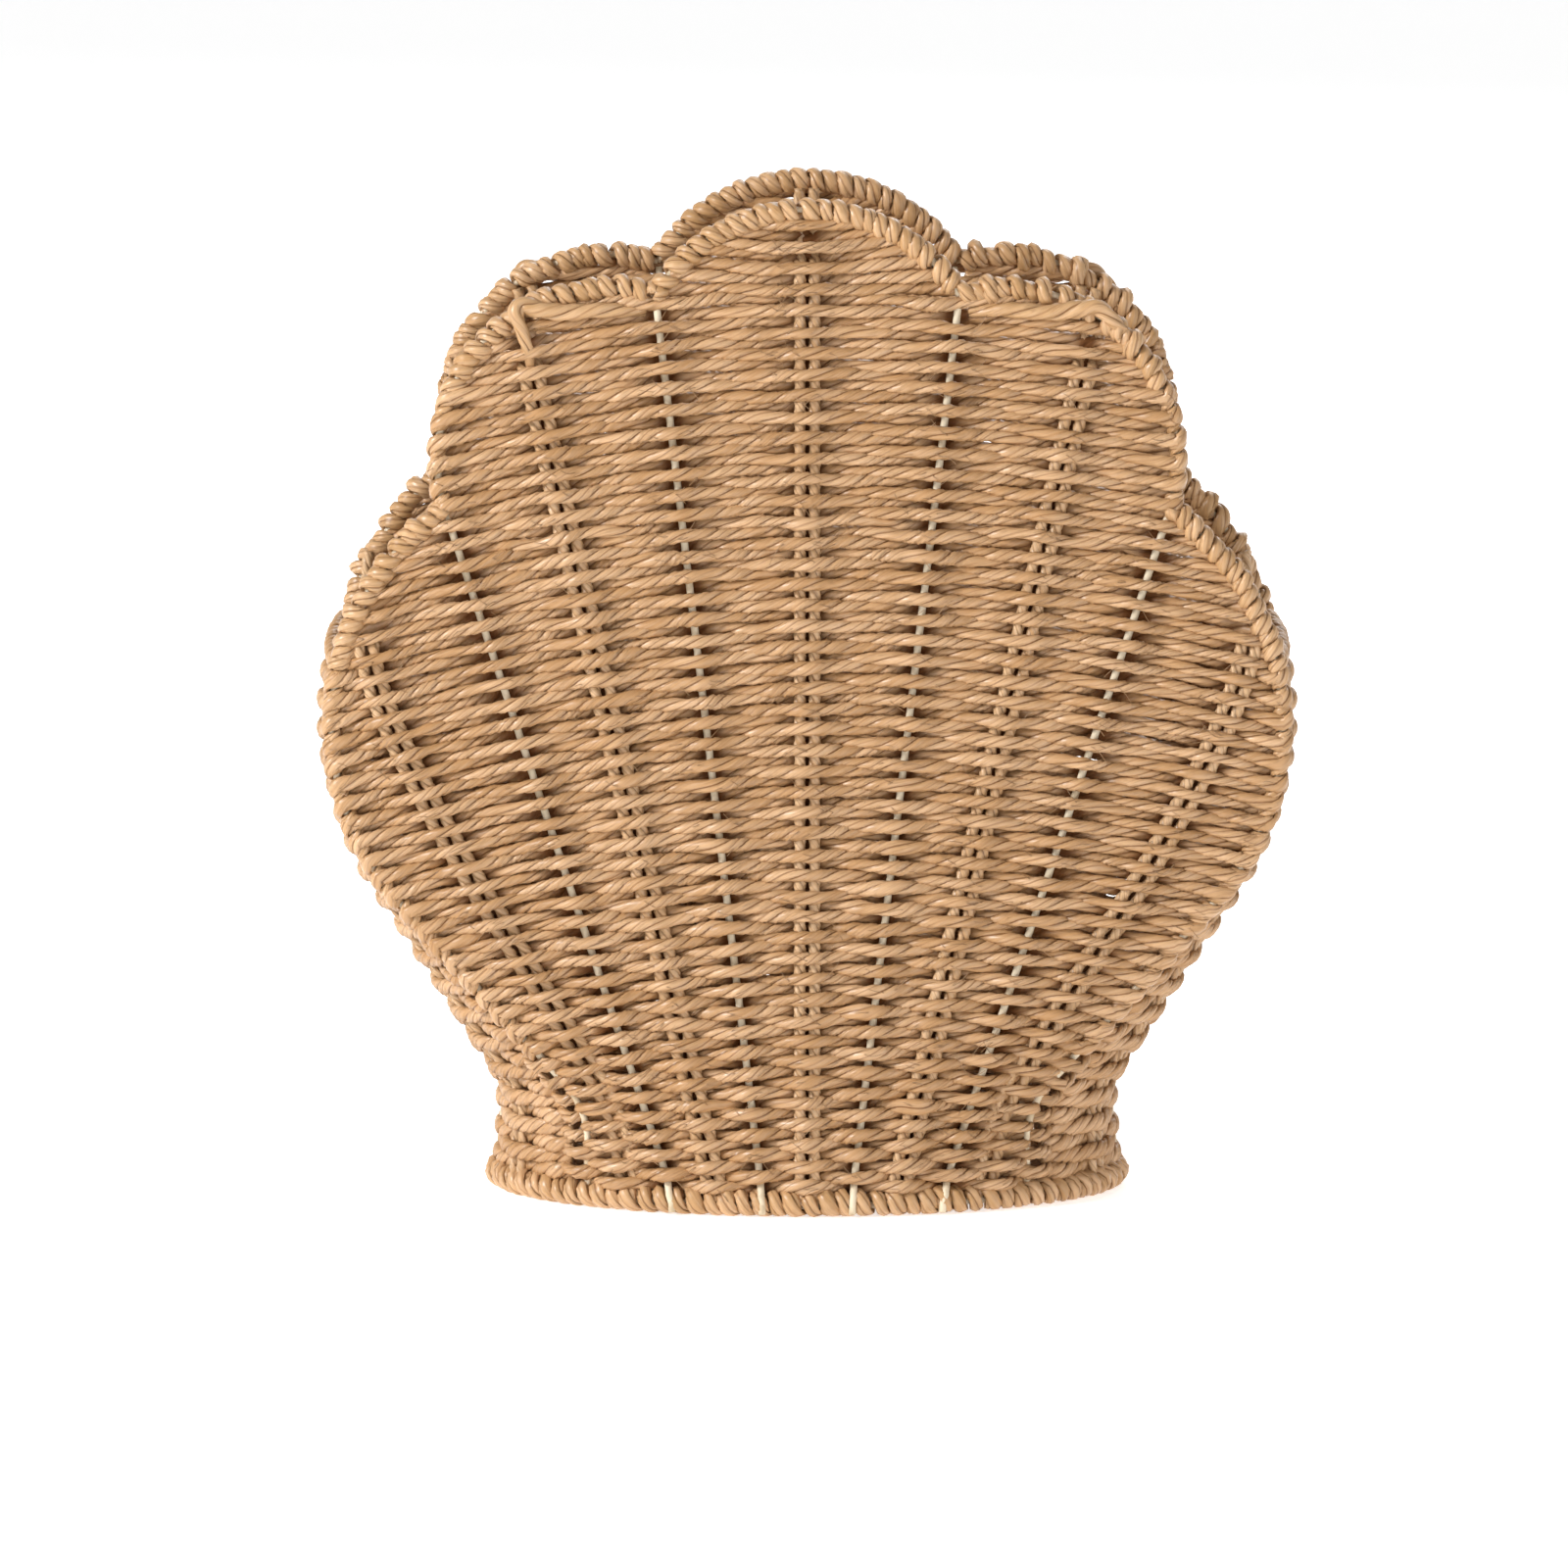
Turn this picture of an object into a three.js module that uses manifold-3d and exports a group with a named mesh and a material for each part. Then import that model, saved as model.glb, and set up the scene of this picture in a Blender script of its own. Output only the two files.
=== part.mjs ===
// Paper rope basket: a shell-shaped front and back panel and two side gussets,
// all woven of rope on a painted wire frame that stands on an oval base ring.
// Millimetres, Z up, the front faces -Y, and the origin lies under the middle of the base.
import * as THREE from "three";
import { mergeVertices } from "three/addons/utils/BufferGeometryUtils.js";
import Module from "manifold-3d";

const wasm = await Module();
wasm.setup();

// Rope and wire
const WIRE_D = 2.5; // painted wire of the whole frame
const TURN_THICK = 2.4; // a turn of rope, pressed flat on the wire
const TURN_WIDE = 6; // the same turn, along the wire
const TURN_PITCH = 8.8; // from one turn of a rim winding to the next
const WARP_ROPE_D = 3.4; // each of the two thin ropes of a warp
const WARP_ROPE_GAP = 1.6; // between those two ropes
const WARP_WAIST = 1.8; // thickness of the warp where its two ropes meet
const WALL_THICK = 9; // the weave, rope over rope
const CLEAR = 0.3; // between neighbours that touch in the real basket

// Oval base and the corners where the side gussets begin
const RING_LENGTH = 212; // along X, between wire centres
const RING_DEPTH = 138; // along Y, between wire centres
const CORNER_X = 75; // where the ridges meet the ring

// Shell outline of a panel, as wire centres in X and Z, right half
const TOP_Z = 342.5; // crown of the middle lobe
const INNER_NOTCH_X = 51.5;
const INNER_NOTCH_FALL = 28.5; // from the crown down to the inner notches
const OUTER_NOTCH_X = 123;
const OUTER_NOTCH_FALL = 100.5; // from the crown down to the outer notches
const UPPER_LOBE_RISE = 30; // of the arc over its chord between the two notches
const SIDE_LOBE_X = 70; // centre of the side lobe's arc
const SIDE_LOBE_SHARE = 0.659; // height of that centre, as a share of the rise from the foot's bend to the notch
const FOOT_BEND_R = 30; // where the flank turns upright above the ring
const FOOT_BEND_Z = 23.6; // the ridge is upright from the ring up to here

// Depth of the basket
const MID_DEPTH = 123; // between the two ridges of a side, where it is deepest
const MID_DEPTH_Z = 175;
const FLAT_FROM_Z = 200; // the panels are flat across from here up

// Gussets
const GUSSET_TOP_Z = 189;
const GUSSET_CROWN = 3; // how far the middle of a gusset stands out at its top
const GUSSET_FULL_Z = 4; // it has the ring's full curve up to here
const GUSSET_SLIM_Z = 140; // and is nearly flat from here

// Where the warps end, as shares of the arc of their lobe
const UPPER_WARP_SHARE = 0.39;
const SIDE_WARP_SHARE = 0.25;
const SIDE_WARP_SWING_Z = 100; // below this the side warp runs midway between ridge and stake

// Faces
const WIRE_SIDES = 6;
const WRAP_SIDES = 8;
const TURN_STEPS = 8;
const TURN_SIDES = 5;
const LOBE_STEPS = 9;
const FOOT_STEPS = 3;
const RING_STEPS = 30;
const STAKE_STEPS = 5;
const SIDE_WARP_STEPS = 9;
const WALL_COLUMNS = 8;
const WALL_ROWS = 8;
const GUSSET_COLUMNS = 6;
const GUSSET_ROWS = 8;

// Sizes that follow
const wireR = WIRE_D / 2;
const boreR = wireR + CLEAR;
const wrapR = boreR + TURN_THICK;
const ringA = RING_LENGTH / 2;
const ringB = RING_DEPTH / 2;
const ringZ = wrapR;
const wallBottomZ = 2 * wrapR + CLEAR;
const sectionGrowth = 1 / Math.cos(Math.PI / WRAP_SIDES);
const edgeGap = Math.max(wrapR * sectionGrowth, WALL_THICK / 2) + 3 * CLEAR;
const stakeSpacing = CORNER_X / 5;

const paperRope = new THREE.MeshStandardMaterial({ color: 0xbd9468, roughness: 0.85, metalness: 0 });
const woundRope = new THREE.MeshStandardMaterial({ color: 0xc7a074, roughness: 0.85, metalness: 0 });
const creamPaint = new THREE.MeshStandardMaterial({ color: 0xcdbea0, roughness: 0.45, metalness: 0 });

const up = new THREE.Vector3(0, 0, 1);
const aside = new THREE.Vector3(0, 1, 0);
const basket = new THREE.Group();

function addPiece(name, geometry, material) {
  const mesh = new THREE.Mesh(geometry, material);
  mesh.name = name;
  basket.add(mesh);
}

// Outline circles. Each lobe is an arc, and below the side lobe a straight flank leads to the foot's bend.

const innerNotch = new THREE.Vector2(INNER_NOTCH_X, TOP_Z - INNER_NOTCH_FALL);
const outerNotch = new THREE.Vector2(OUTER_NOTCH_X, TOP_Z - OUTER_NOTCH_FALL);

function middleCircle() {
  const r = (INNER_NOTCH_X ** 2 + INNER_NOTCH_FALL ** 2) / (2 * INNER_NOTCH_FALL);
  return { x: 0, z: TOP_Z - r, r };
}

function upperCircle() {
  const chord = outerNotch.clone().sub(innerNotch);
  const half = chord.length() / 2;
  const r = (half ** 2 + UPPER_LOBE_RISE ** 2) / (2 * UPPER_LOBE_RISE);
  const inward = new THREE.Vector2(chord.y, -chord.x).normalize();
  const centre = innerNotch.clone().addScaledVector(chord, 0.5).addScaledVector(inward, r - UPPER_LOBE_RISE);
  return { x: centre.x, z: centre.y, r };
}

const middle = middleCircle();
const upper = upperCircle();
const foot = { x: CORNER_X + FOOT_BEND_R, z: FOOT_BEND_Z, r: FOOT_BEND_R };
const sideZ = THREE.MathUtils.lerp(foot.z, outerNotch.y, SIDE_LOBE_SHARE);
const side = {
  x: SIDE_LOBE_X,
  z: sideZ,
  r: Math.hypot(OUTER_NOTCH_X - SIDE_LOBE_X, outerNotch.y - sideZ),
};

// The flank is the straight line that touches the side lobe's arc and the foot's bend, from below one
// to above the other. Its angle is from upright.
function flankLean() {
  const apart = Math.hypot(foot.x - side.x, foot.z - side.z);
  const downward = Math.atan2(side.z - foot.z, foot.x - side.x);
  return downward - Math.acos((side.r + foot.r) / apart);
}

const flankAngle = flankLean();
const flankTop = onCircle(side, -flankAngle);

function angleOn(circle, point) {
  return Math.atan2(point.y - circle.z, point.x - circle.x);
}

function onCircle(circle, angle, inset = 0) {
  const r = circle.r - inset;
  return new THREE.Vector2(circle.x + r * Math.cos(angle), circle.z + r * Math.sin(angle));
}

function arcPoints(circle, from, to, steps, inset = 0) {
  return Array.from({ length: steps + 1 }, (_, i) => onCircle(circle, from + ((to - from) * i) / steps, inset));
}

// The foot's bend, from the flank down, and the upright end of the ridge at the ring.
function footPoints(inset) {
  const bend = arcPoints(foot, Math.PI - flankAngle, Math.PI, FOOT_STEPS, -inset);
  return [...bend, new THREE.Vector2(CORNER_X - inset, ringZ)];
}

// Where two neighbouring lobes' circles, both drawn in alike, cross under the notch between them.
function crossing(a, b, inset) {
  const from = new THREE.Vector2(a.x, a.z);
  const axis = new THREE.Vector2(b.x - a.x, b.z - a.z);
  const apart = axis.length();
  const ra = a.r - inset;
  const rb = b.r - inset;
  const along = (ra ** 2 - rb ** 2 + apart ** 2) / (2 * apart);
  const across = Math.sqrt(ra ** 2 - along ** 2);
  axis.normalize();
  const square = new THREE.Vector2(axis.y, -axis.x);
  return from.addScaledVector(axis, along).addScaledVector(square, -across);
}

// Depth of the surfaces

const cornerY = ringB * Math.sqrt(1 - (CORNER_X / ringA) ** 2);

function halfDepth(z) {
  const rise = (z - MID_DEPTH_Z) / (MID_DEPTH_Z - ringZ);
  return MID_DEPTH / 2 - (MID_DEPTH / 2 - cornerY) * rise ** 2;
}

function ridgeX(z) {
  if (z <= foot.z) return CORNER_X;
  if (z <= foot.z + foot.r * Math.sin(flankAngle)) return foot.x - Math.sqrt(foot.r ** 2 - (z - foot.z) ** 2);
  if (z <= flankTop.y) return flankTop.x - (flankTop.y - z) * Math.tan(flankAngle);
  return side.x + Math.sqrt(Math.max(side.r ** 2 - (z - side.z) ** 2, 0));
}

// Part of an ellipse's curve, 1 at its crest and 0 at the corners.
function crest(share, corner) {
  const edge = Math.sqrt(1 - corner ** 2);
  const inside = Math.min(Math.abs(share), 1) * corner;
  return (Math.sqrt(1 - inside ** 2) - edge) / (1 - edge);
}

// Distance of a panel's mid surface from the plane between the panels.
function panelDepth(x, z) {
  const fade = Math.max(0, 1 - (z - ringZ) / (FLAT_FROM_Z - ringZ)) ** 2;
  const width = ridgeX(Math.min(z, side.z));
  return halfDepth(z) + (ringB - cornerY) * fade * crest(x / width, CORNER_X / ringA);
}

function gussetOut(z) {
  const share = THREE.MathUtils.clamp((z - GUSSET_FULL_Z) / (GUSSET_SLIM_Z - GUSSET_FULL_Z), 0, 1);
  const full = ringA - CORNER_X;
  return GUSSET_CROWN + (full - GUSSET_CROWN) * 0.5 * (1 + Math.cos(Math.PI * share));
}

// A point of a gusset's mid surface: sideways is +1 or -1, and across runs from -1 to 1.
function gussetPoint(sideways, across, z) {
  const out = ridgeX(z) + gussetOut(z) * crest(across, cornerY / ringB);
  return new THREE.Vector3(sideways * out, across * halfDepth(z), z);
}

// A point of a panel's mid surface: facing is -1 for the front and +1 for the back.
function panelPoint(facing, x, z) {
  return new THREE.Vector3(x, facing * panelDepth(x, z), z);
}

// Tubes. A section is a list of 2D points, counted anticlockwise, and a path a list of 3D points.

function roundSection(radius, sides) {
  const r = radius / Math.cos(Math.PI / sides);
  return Array.from({ length: sides }, (_, i) => {
    const angle = (2 * Math.PI * (i + 0.5)) / sides;
    return new THREE.Vector2(r * Math.cos(angle), r * Math.sin(angle));
  });
}

function wireSection() {
  return roundSection(wireR * Math.cos(Math.PI / WIRE_SIDES), WIRE_SIDES);
}

// Two ropes side by side, with the waist where they meet. It grows for the channel that holds it.
function warpSection(growth) {
  const lobe = WARP_ROPE_D / 2 + growth;
  const apart = (WARP_ROPE_D + WARP_ROPE_GAP) / 2;
  const waist = WARP_WAIST / 2 + growth;
  const half = [
    [apart + lobe, 0],
    [apart, lobe],
    [0, waist],
    [-apart, lobe],
  ];
  const points = half.map(([x, y]) => new THREE.Vector2(x, y));
  return points.concat(points.map((p) => p.clone().negate()));
}

function tangents(path, closed) {
  const n = path.length;
  return path.map((_, i) => {
    const before = closed ? path[(i - 1 + n) % n] : path[Math.max(i - 1, 0)];
    const after = closed ? path[(i + 1) % n] : path[Math.min(i + 1, n - 1)];
    return after.clone().sub(before).normalize();
  });
}

// The rings of points of a section carried along a path, its second axis kept near the given normal.
function sectionRings(path, section, normal, closed = false) {
  const along = tangents(path, closed);
  return path.map((centre, i) => {
    const first = new THREE.Vector3().crossVectors(normal, along[i]).normalize();
    const second = new THREE.Vector3().crossVectors(along[i], first);
    return section.map((p) => centre.clone().addScaledVector(first, p.x).addScaledVector(second, p.y));
  });
}

class FaceList {
  constructor() {
    this.positions = [];
  }
  triangle(a, b, c) {
    this.positions.push(...a.toArray(), ...b.toArray(), ...c.toArray());
  }
  quad(a, b, c, d) {
    this.triangle(a, b, c);
    this.triangle(a, c, d);
  }
  geometry() {
    const geometry = new THREE.BufferGeometry();
    geometry.setAttribute("position", new THREE.Float32BufferAttribute(this.positions, 3));
    geometry.computeVertexNormals();
    return geometry;
  }
}

function joinRings(faces, rings, closed) {
  const last = closed ? rings.length : rings.length - 1;
  for (let i = 0; i < last; i++) {
    const a = rings[i];
    const b = rings[(i + 1) % rings.length];
    a.forEach((_, k) => {
      const next = (k + 1) % a.length;
      faces.quad(a[k], a[next], b[next], b[k]);
    });
  }
}

function capRing(faces, ring, centre, forward) {
  ring.forEach((point, k) => {
    const next = ring[(k + 1) % ring.length];
    if (forward) faces.triangle(centre, point, next);
    else faces.triangle(centre, next, point);
  });
}

function tube(path, section, normal, closed = false) {
  const rings = sectionRings(path, section, normal, closed);
  const faces = new FaceList();
  joinRings(faces, rings, closed);
  if (!closed) {
    capRing(faces, rings[0], path[0], false);
    capRing(faces, rings[rings.length - 1], path[path.length - 1], true);
  }
  return faces.geometry();
}

// A tube with a bore through it, both with as many sides.
function sleeve(path, normal) {
  const outer = sectionRings(path, roundSection(wrapR, WRAP_SIDES), normal);
  const bore = sectionRings(path, roundSection(boreR, WRAP_SIDES), normal);
  const boreInwards = bore.map((ring) => [...ring].reverse());
  const faces = new FaceList();
  joinRings(faces, outer, false);
  joinRings(faces, boreInwards, false);
  const end = outer.length - 1;
  outer[0].forEach((_, k) => {
    const next = (k + 1) % WRAP_SIDES;
    faces.quad(outer[0][next], outer[0][k], bore[0][k], bore[0][next]);
    faces.quad(outer[end][k], outer[end][next], bore[end][next], bore[end][k]);
  });
  return faces.geometry();
}

function lengthOf(path) {
  return path.slice(1).reduce((sum, point, i) => sum + point.distanceTo(path[i]), 0);
}

function pointAlong(path, distance) {
  let left = distance;
  for (let i = 1; i < path.length; i++) {
    const step = path[i].distanceTo(path[i - 1]);
    if (left <= step || i === path.length - 1) return path[i - 1].clone().lerp(path[i], left / step);
    left -= step;
  }
  return path[0].clone();
}

// The part of a path between two distances from its start.
function stretch(path, from, to) {
  const inner = [];
  let travelled = 0;
  for (let i = 1; i < path.length - 1; i++) {
    travelled += path[i].distanceTo(path[i - 1]);
    if (travelled > from + CLEAR && travelled < to - CLEAR) inner.push(path[i].clone());
  }
  return [pointAlong(path, from), ...inner, pointAlong(path, to)];
}

function trimmed(path, start, end) {
  return stretch(path, start, lengthOf(path) - end);
}

// Booleans

function solidOf(geometry) {
  const bare = geometry.clone();
  bare.deleteAttribute("normal");
  bare.deleteAttribute("uv");
  const merged = mergeVertices(bare, 1e-4);
  const vertProperties = merged.attributes.position.array;
  const triVerts = new Uint32Array(merged.index.array);
  return new wasm.Manifold(new wasm.Mesh({ numProp: 3, vertProperties, triVerts }));
}

function geometryOf(solid) {
  const mesh = solid.getMesh();
  const geometry = new THREE.BufferGeometry();
  geometry.setAttribute("position", new THREE.BufferAttribute(mesh.vertProperties, 3));
  geometry.setIndex(new THREE.BufferAttribute(mesh.triVerts, 1));
  geometry.computeVertexNormals();
  return geometry;
}

function cutAway(geometry, cutters) {
  const rest = cutters.reduce((solid, cutter) => solid.subtract(solidOf(cutter)), solidOf(geometry));
  return geometryOf(rest);
}

// A closed slab between an outer and an inner sheet of points, each a grid of columns and rows.
function slab(columns, rows, outerAt, innerAt) {
  const grid = (at) =>
    Array.from({ length: columns + 1 }, (_, i) => Array.from({ length: rows + 1 }, (_, j) => at(i, j)));
  const outer = grid(outerAt);
  const inner = grid(innerAt);
  const faces = new FaceList();
  for (let i = 0; i < columns; i++) {
    for (let j = 0; j < rows; j++) {
      faces.quad(outer[i][j], outer[i + 1][j], outer[i + 1][j + 1], outer[i][j + 1]);
      faces.quad(inner[i][j + 1], inner[i + 1][j + 1], inner[i + 1][j], inner[i][j]);
    }
    faces.quad(inner[i][0], inner[i + 1][0], outer[i + 1][0], outer[i][0]);
    faces.quad(outer[i][rows], outer[i + 1][rows], inner[i + 1][rows], inner[i][rows]);
  }
  for (let j = 0; j < rows; j++) {
    faces.quad(inner[0][j + 1], inner[0][j], outer[0][j], outer[0][j + 1]);
    faces.quad(outer[columns][j + 1], outer[columns][j], inner[columns][j], inner[columns][j + 1]);
  }
  return faces.geometry();
}

// Base ring, its rope wrap and the woven floor

const ringPath = Array.from({ length: RING_STEPS }, (_, i) => {
  const angle = Math.PI / 2 + (2 * Math.PI * i) / RING_STEPS;
  return new THREE.Vector3(ringA * Math.cos(angle), ringB * Math.sin(angle), ringZ);
});

function buildBase() {
  addPiece("base_ring_wire", tube(ringPath, wireSection(), up, true), creamPaint);
  const roundTheRing = [...ringPath, ringPath[0]]; // the wrap begins and ends at the middle of the back
  addPiece("base_ring_wrap", sleeve(trimmed(roundTheRing, CLEAR, CLEAR), up), woundRope);
  const inset = wrapR * sectionGrowth + 2 * CLEAR;
  const floorShape = new THREE.Shape(
    ringPath.map((p) => new THREE.Vector2((p.x * (ringA - inset)) / ringA, (p.y * (ringB - inset)) / ringB)),
  );
  const floor = new THREE.ExtrudeGeometry(floorShape, { depth: 2 * wrapR, bevelEnabled: false });
  const channels = [];
  [-3, -1, 1, 3].forEach((place, i) => {
    const x = place * stakeSpacing;
    const reach = (ringB - inset) * Math.sqrt(1 - (x / (ringA - inset)) ** 2);
    const wire = [new THREE.Vector3(x, -reach, ringZ), new THREE.Vector3(x, reach, ringZ)];
    const channel = [wire[0].clone().setY(-ringB), wire[1].clone().setY(ringB)];
    channels.push(tube(channel, roundSection(boreR, WIRE_SIDES), up));
    addPiece("floor_wire_" + (i + 1), tube(wire, wireSection(), up), creamPaint);
  });
  addPiece("floor_weave", cutAway(floor, channels), paperRope);
}

// Rim wires and their rope windings. A rim path holds points of the panel's outline.

function rimPath(facing, mirror, outline) {
  return outline.map((p) => panelPoint(facing, mirror * p.x, p.y));
}

// How far a round piece stops short of a notch, so that it clears its twin on the other lobe.
function notchStop(radius, first, second) {
  const half = first.angleTo(second) / 2;
  return (radius * Math.cos(half) + CLEAR) / Math.sin(half);
}

// How far the rope on the rim stops short of a notch, so that it clears the stake that ends there.
function stakeStop(rim, stake) {
  const between = rim.angleTo(stake);
  return (wrapR * Math.cos(between) + wireR + CLEAR) / Math.sin(between);
}

function leaving(path) {
  return path[1].clone().sub(path[0]).normalize();
}

const lobes = {
  middle: arcPoints(middle, angleOn(middle, innerNotch), Math.PI - angleOn(middle, innerNotch), LOBE_STEPS),
  upper: arcPoints(upper, angleOn(upper, innerNotch), angleOn(upper, outerNotch), LOBE_STEPS),
  side: arcPoints(side, angleOn(side, outerNotch), -flankAngle, LOBE_STEPS).concat(footPoints(0)),
};

// Where wires and ropes stop at the notches: the two lobes and the stake all lead away from each.
function notchStops(facing) {
  const stops = (firstPath, secondPath, stakePath) => {
    const [first, second, stake] = [firstPath, secondPath, stakePath].map(leaving);
    const wrap = Math.max(notchStop(wrapR, first, second), stakeStop(first, stake), stakeStop(second, stake));
    return { wire: notchStop(wireR, first, second), wrap };
  };
  const upperPath = rimPath(facing, 1, lobes.upper);
  const [innerStake, outerStake] = notchStakes.map((ray) => rayPath(facing, 1, ray).reverse());
  return {
    inner: stops(rimPath(facing, 1, lobes.middle), upperPath, innerStake),
    outer: stops([...upperPath].reverse(), rimPath(facing, 1, lobes.side), outerStake),
  };
}

// A rope wound round a wire: an eight-sided helix of whole turns, spread over the path's length.
function winding(path) {
  const length = lengthOf(path);
  const turns = Math.round(length / TURN_PITCH);
  const steps = turns * TURN_STEPS;
  const centreR = (boreR + TURN_THICK / 2) / Math.cos(Math.PI / TURN_STEPS);
  const margin = TURN_WIDE / 2;
  const rings = [];
  const centres = [];
  for (let i = 0; i <= steps; i++) {
    const s = margin + ((length - 2 * margin) * i) / steps;
    const centre = pointAlong(path, s);
    const ahead = pointAlong(path, s + CLEAR);
    const along = ahead.sub(pointAlong(path, s - CLEAR)).normalize();
    const level = new THREE.Vector3().crossVectors(aside, along).normalize();
    const square = new THREE.Vector3().crossVectors(along, level);
    const turn = (2 * Math.PI * i) / TURN_STEPS;
    const out = level.multiplyScalar(Math.cos(turn)).addScaledVector(square, Math.sin(turn));
    centre.addScaledVector(out, centreR);
    centres.push(centre);
    const ring = [];
    for (let k = 0; k < TURN_SIDES; k++) {
      const angle = (2 * Math.PI * k) / TURN_SIDES;
      const point = centre.clone().addScaledVector(out, (TURN_THICK / 2) * Math.cos(angle));
      ring.push(point.addScaledVector(along, (-TURN_WIDE / 2) * Math.sin(angle)));
    }
    rings.push(ring);
  }
  const faces = new FaceList();
  joinRings(faces, rings, false);
  capRing(faces, rings[0], centres[0], false);
  capRing(faces, rings[steps], centres[steps], true);
  return { geometry: faces.geometry(), rings, turns };
}

// The least distance between points of a winding that lie most of a turn or more apart.
function leastGap(rings) {
  let least = Infinity;
  rings.forEach((ring, i) => {
    for (let j = i + TURN_STEPS - 1; j < Math.min(rings.length, i + TURN_STEPS + 2); j++) {
      for (const a of ring) for (const b of rings[j]) least = Math.min(least, a.distanceTo(b));
    }
  });
  return least;
}

function buildRim(face, facing) {
  const { inner, outer } = notchStops(facing);
  const crowns = [
    ["middle", rimPath(facing, 1, lobes.middle), inner, inner],
    ["upper_left", rimPath(facing, -1, lobes.upper), inner, outer],
    ["upper_right", rimPath(facing, 1, lobes.upper), inner, outer],
  ];
  for (const [place, path, start, end] of crowns) {
    const wire = trimmed(path, start.wire, end.wire);
    addPiece(face + "_rim_wire_" + place, tube(wire, wireSection(), aside), creamPaint);
    const wound = winding(trimmed(path, start.wrap, end.wrap));
    addPiece(face + "_rim_winding_" + place, wound.geometry, woundRope);
    const gap = leastGap(wound.rings).toFixed(2);
    console.log(face + " rim winding " + place + ": " + wound.turns + " turns, least gap " + gap + " mm");
  }
  for (const [place, mirror] of [["left", -1], ["right", 1]]) {
    const path = rimPath(facing, mirror, lobes.side);
    const footEnd = wrapR * sectionGrowth + CLEAR;
    const wire = trimmed(path, outer.wire, footEnd);
    addPiece(face + "_rim_wire_side_" + place, tube(wire, wireSection(), aside), creamPaint);
    addPiece(face + "_ridge_wrap_" + place, sleeve(trimmed(path, outer.wrap, footEnd), aside), woundRope);
  }
}

// Stakes and warps. They rise like rays from even places on the ring to the notches and the lobes.

const notchStakes = [
  { place: 1, top: innerNotch },
  { place: 3, top: outerNotch },
];
const crownWarps = [
  { place: 0, circle: middle, top: new THREE.Vector2(0, TOP_Z) },
  { place: 2, circle: upper, top: pointOfLobe(upper, innerNotch, outerNotch, UPPER_WARP_SHARE) },
  {
    place: 4,
    circle: side,
    top: pointOfLobe(side, outerNotch, flankTop, SIDE_WARP_SHARE),
    xAt: sideWarpX,
    steps: SIDE_WARP_STEPS,
  },
];
const warpHalfWidth = WARP_ROPE_D + WARP_ROPE_GAP / 2;

function pointOfLobe(circle, from, to, share) {
  const start = angleOn(circle, from);
  return onCircle(circle, start + (angleOn(circle, to) - start) * share);
}

function outerStakeX(z) {
  return THREE.MathUtils.mapLinear(z, ringZ, outerNotch.y, 3 * stakeSpacing, OUTER_NOTCH_X);
}

// The side warp swings from midway between stake and ridge out to the side lobe.
function sideWarpX(z, top) {
  const swing = Math.max(0, (z - SIDE_WARP_SWING_Z) / (top.y - SIDE_WARP_SWING_Z));
  return THREE.MathUtils.lerp(outerStakeX(z), ridgeX(z), 0.5 + 0.5 * swing ** 2);
}

// A ray of the panel from the ring's level to its top, with its points on the mid surface.
function rayPath(facing, mirror, { place, top, xAt, steps = STAKE_STEPS }) {
  return Array.from({ length: steps + 1 }, (_, i) => {
    const z = THREE.MathUtils.lerp(ringZ, top.y, i / steps);
    const straight = THREE.MathUtils.lerp(place * stakeSpacing, top.x, i / steps);
    return panelPoint(facing, mirror * (xAt ? xAt(z, top) : straight), z);
  });
}

// Where a piece starts on a ray, so that the low corner of its slanted end clears the ring's wrap.
function ringStart(path, halfWidth) {
  const along = leaving(path);
  const dip = halfWidth * Math.sqrt(1 - along.z ** 2);
  return (wallBottomZ + dip - path[0].z) / along.z;
}

// How far a warp stops short of its lobe, so that the corners of its square end clear the rope on the rim.
function crownStop({ path, circle, mirror }) {
  const length = lengthOf(path);
  const centre = new THREE.Vector2(circle.x, circle.z);
  const flat = (distance) => {
    const point = pointAlong(path, distance);
    return new THREE.Vector2(mirror * point.x, point.z);
  };
  const cornerReach = (stop) => {
    const end = flat(length - stop);
    const along = end.clone().sub(flat(length - stop - CLEAR)).normalize();
    const outward = end.clone().sub(centre);
    const cosine = along.dot(outward) / outward.length();
    return outward.length() + warpHalfWidth * Math.sqrt(1 - Math.min(cosine ** 2, 1));
  };
  let stop = edgeGap;
  for (let tried = stop; flat(length - tried).y > circle.z; tried += CLEAR) {
    if (cornerReach(tried) > circle.r - edgeGap) stop = tried + CLEAR;
  }
  return stop;
}

function panelRays(facing) {
  const pair = (ray, isStake) =>
    (ray.place === 0 ? [1] : [-1, 1]).map((mirror) => ({
      ...ray,
      isStake,
      mirror,
      path: rayPath(facing, mirror, ray),
    }));
  const rays = [
    ...notchStakes.flatMap((ray) => pair(ray, true)),
    ...crownWarps.flatMap((ray) => pair(ray, false)),
  ];
  return rays.sort((a, b) => a.mirror * a.place - b.mirror * b.place);
}

function buildStakes(face, facing) {
  const rays = panelRays(facing);
  rays
    .filter((ray) => ray.isStake)
    .forEach(({ path }, i) => {
      const stake = trimmed(path, ringStart(path, wireR), wireR + 2 * CLEAR);
      addPiece(face + "_stake_wire_" + (i + 1), tube(stake, wireSection(), aside), creamPaint);
    });
  rays
    .filter((ray) => !ray.isStake)
    .forEach((ray, i) => {
      const warp = trimmed(ray.path, ringStart(ray.path, warpHalfWidth), crownStop(ray));
      addPiece(face + "_warp_" + (i + 1), tube(warp, warpSection(0), aside), paperRope);
    });
}

// Woven panels: a curved slab cut to the shell outline, with a channel for each stake and warp.

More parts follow.
